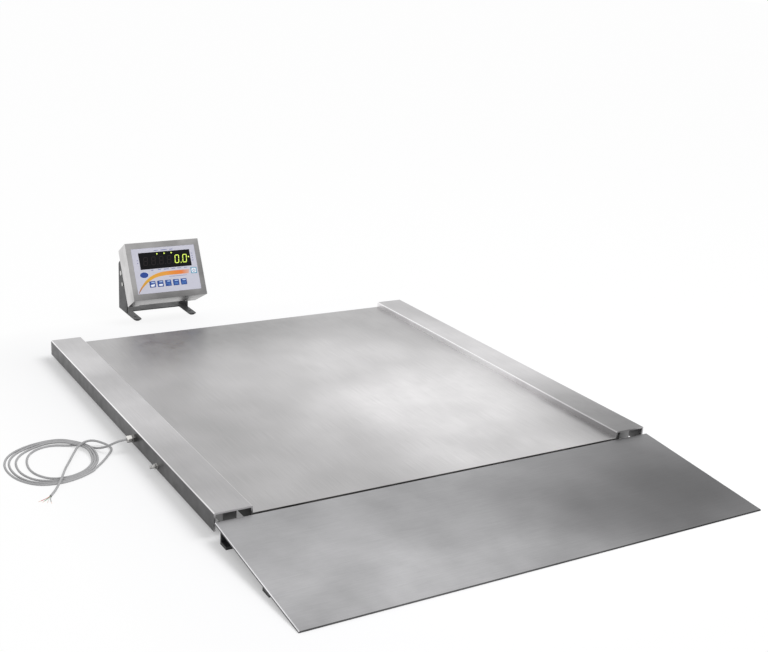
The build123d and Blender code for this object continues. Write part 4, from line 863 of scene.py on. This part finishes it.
def outlineRadius(points, centre, angles):
    # distance of a closed outline from the centre at each angle, smooth between its points
    offset = np.array(points, float) - np.array(centre)
    own = np.arctan2(offset[:, 1], offset[:, 0])
    order = np.argsort(own)
    own, reach = own[order], np.hypot(offset[:, 0], offset[:, 1])[order]
    return np.interp(angles, own, reach, period=2 * np.pi)


def coilPoints(settings):
    # the radius grows by one pitch a turn from the inner outline, and fans out where the outlines part
    first = math.radians(settings["firstAngle"])
    last = math.radians(settings["lastAngle"]) + 2 * np.pi * settings["turns"]
    count = int(settings["pointsPerTurn"] * (last - first) / (2 * np.pi)) + 1
    angles = np.linspace(first, last, count)
    turn = (angles - first) / (2 * np.pi)
    innerReach = outlineRadius(settings["inner"], settings["centre"], angles)
    outerReach = outlineRadius(settings["outer"], settings["centre"], angles)
    spare = np.maximum(outerReach - innerReach - 31.0, 0.0)
    share = np.interp(turn, [0.33, 1.33, 2.33, 3.33], [0.0, 0.6, 0.88, 1.0])
    radius = innerReach + settings["innerGap"] + settings["pitch"] * turn + spare * share
    degrees = np.degrees(angles) % 360.0
    near = np.minimum(np.abs(degrees - 50.0), 360.0 - np.abs(degrees - 50.0))
    over = np.clip((62.0 - near) / 32.0, 0.0, 1.0)
    raised = settings["lift"] * over * over * (3 - 2 * over) * np.clip((turn - 0.55) / 0.25, 0.0, 1.0)
    x = settings["centre"][0] + radius * np.cos(angles)
    y = settings["centre"][1] + radius * np.sin(angles)
    return np.column_stack([x, y, settings["restHeight"] + raised])


coreSettings = {
    "end": (-854.5, -287.0, 3.0),
    "before": (-846.5, -277.0, 3.4),
    "diameter": 1.3,
    "length": 30.0,
    "tipLength": 5.0,
    "fan": (-16.0, -6.0, 5.0, 15.0),
    "restHeight": 0.85,
    "colours": ("redCore", "greenCore", "whiteCore", "blackCore"),
    "steps": 20,
    "sides": 12,
}


def roundTube(path, radius, sides):
    # circles square to a path that lies nearly flat, joined ring by ring and capped
    along = np.gradient(path, axis=0)
    along = along / np.linalg.norm(along, axis=1)[:, None]
    across = np.cross([0.0, 0.0, 1.0], along)
    across = across / np.linalg.norm(across, axis=1)[:, None]
    above = np.cross(along, across)
    turns = np.arange(sides) * 2 * np.pi / sides
    rings = path[:, None, :] + radius * (np.cos(turns)[None, :, None] * across[:, None, :]
                                         + np.sin(turns)[None, :, None] * above[:, None, :])
    here = np.arange(len(path) * sides).reshape(len(path), sides)
    after = np.roll(here, -1, axis=1)
    walls = np.stack([here[:-1], after[:-1], after[1:], here[1:]], axis=-1).reshape(-1, 4).tolist()
    return rings.reshape(-1, 3), walls + [here[0][::-1].tolist(), here[-1].tolist()]


def bareCores(settings):
    # each core runs out of the sheath and bends down to the floor: a curve of three control points
    end, before = np.array(settings["end"]), np.array(settings["before"])
    run = np.array([*(end - before)[:2], 0.0])
    run = run / np.linalg.norm(run)
    side = np.array([-run[1], run[0], 0.0])
    drop = np.array([0.0, 0.0, settings["restHeight"] - end[2]])
    part = np.linspace(0.0, 1.0, settings["steps"])[:, None]
    tipStart = int(settings["steps"] * (1 - settings["tipLength"] / settings["length"]))
    pieces = []
    for number, (fan, colour) in enumerate(zip(settings["fan"], settings["colours"])):
        root = end + side * settings["diameter"] * 1.05 * (number - 1.5) + drop / 2
        bend = root + run * settings["length"] * 0.35
        far = end + run * settings["length"] + side * fan + drop
        path = root * (1 - part) ** 2 + 2 * bend * part * (1 - part) + far * part ** 2
        verts, faces = roundTube(path[:tipStart + 1], settings["diameter"] / 2, settings["sides"])
        pieces.append(meshPiece(colour + "Wire", verts * mm, faces, finishes[colour], "weighbridge"))
        verts, faces = roundTube(path[tipStart - 1:], settings["diameter"] * 0.34, settings["sides"])
        pieces.append(meshPiece(colour + "Tip", verts * mm, faces, finishes["copper"], "weighbridge"))
    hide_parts("cable_cores")
    return pieces


def signalCable(settings):
    offsets = np.vstack([settings["lead"], coilPoints(settings), settings["tail"]]).astype(float)
    points = offsets * mm + np.array(settings["exit"])
    data = bpy.data.curves.new("signalCable", "CURVE")
    data.dimensions = "3D"
    data.bevel_depth = settings["diameter"] / 2
    data.bevel_resolution = 4
    data.use_fill_caps = True
    data.resolution_u = 6
    line = data.splines.new("NURBS")
    line.points.add(len(points) - 1)
    line.points.foreach_set("co", np.column_stack([points, np.ones(len(points))]).ravel())
    line.order_u = 3
    line.use_endpoint_u = True
    cable = bpy.data.objects.new("signalCable", data)
    scene.collection.objects.link(cable)
    data.materials.append(finishes["cableSheath"])
    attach(cable, "weighbridge")
    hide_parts("platform_cable_lead", "platform_cable_coil", "platform_cable_tail")
    bareCores(coreSettings)


signalCable(cableSettings)
print("stage: signal cable laid")
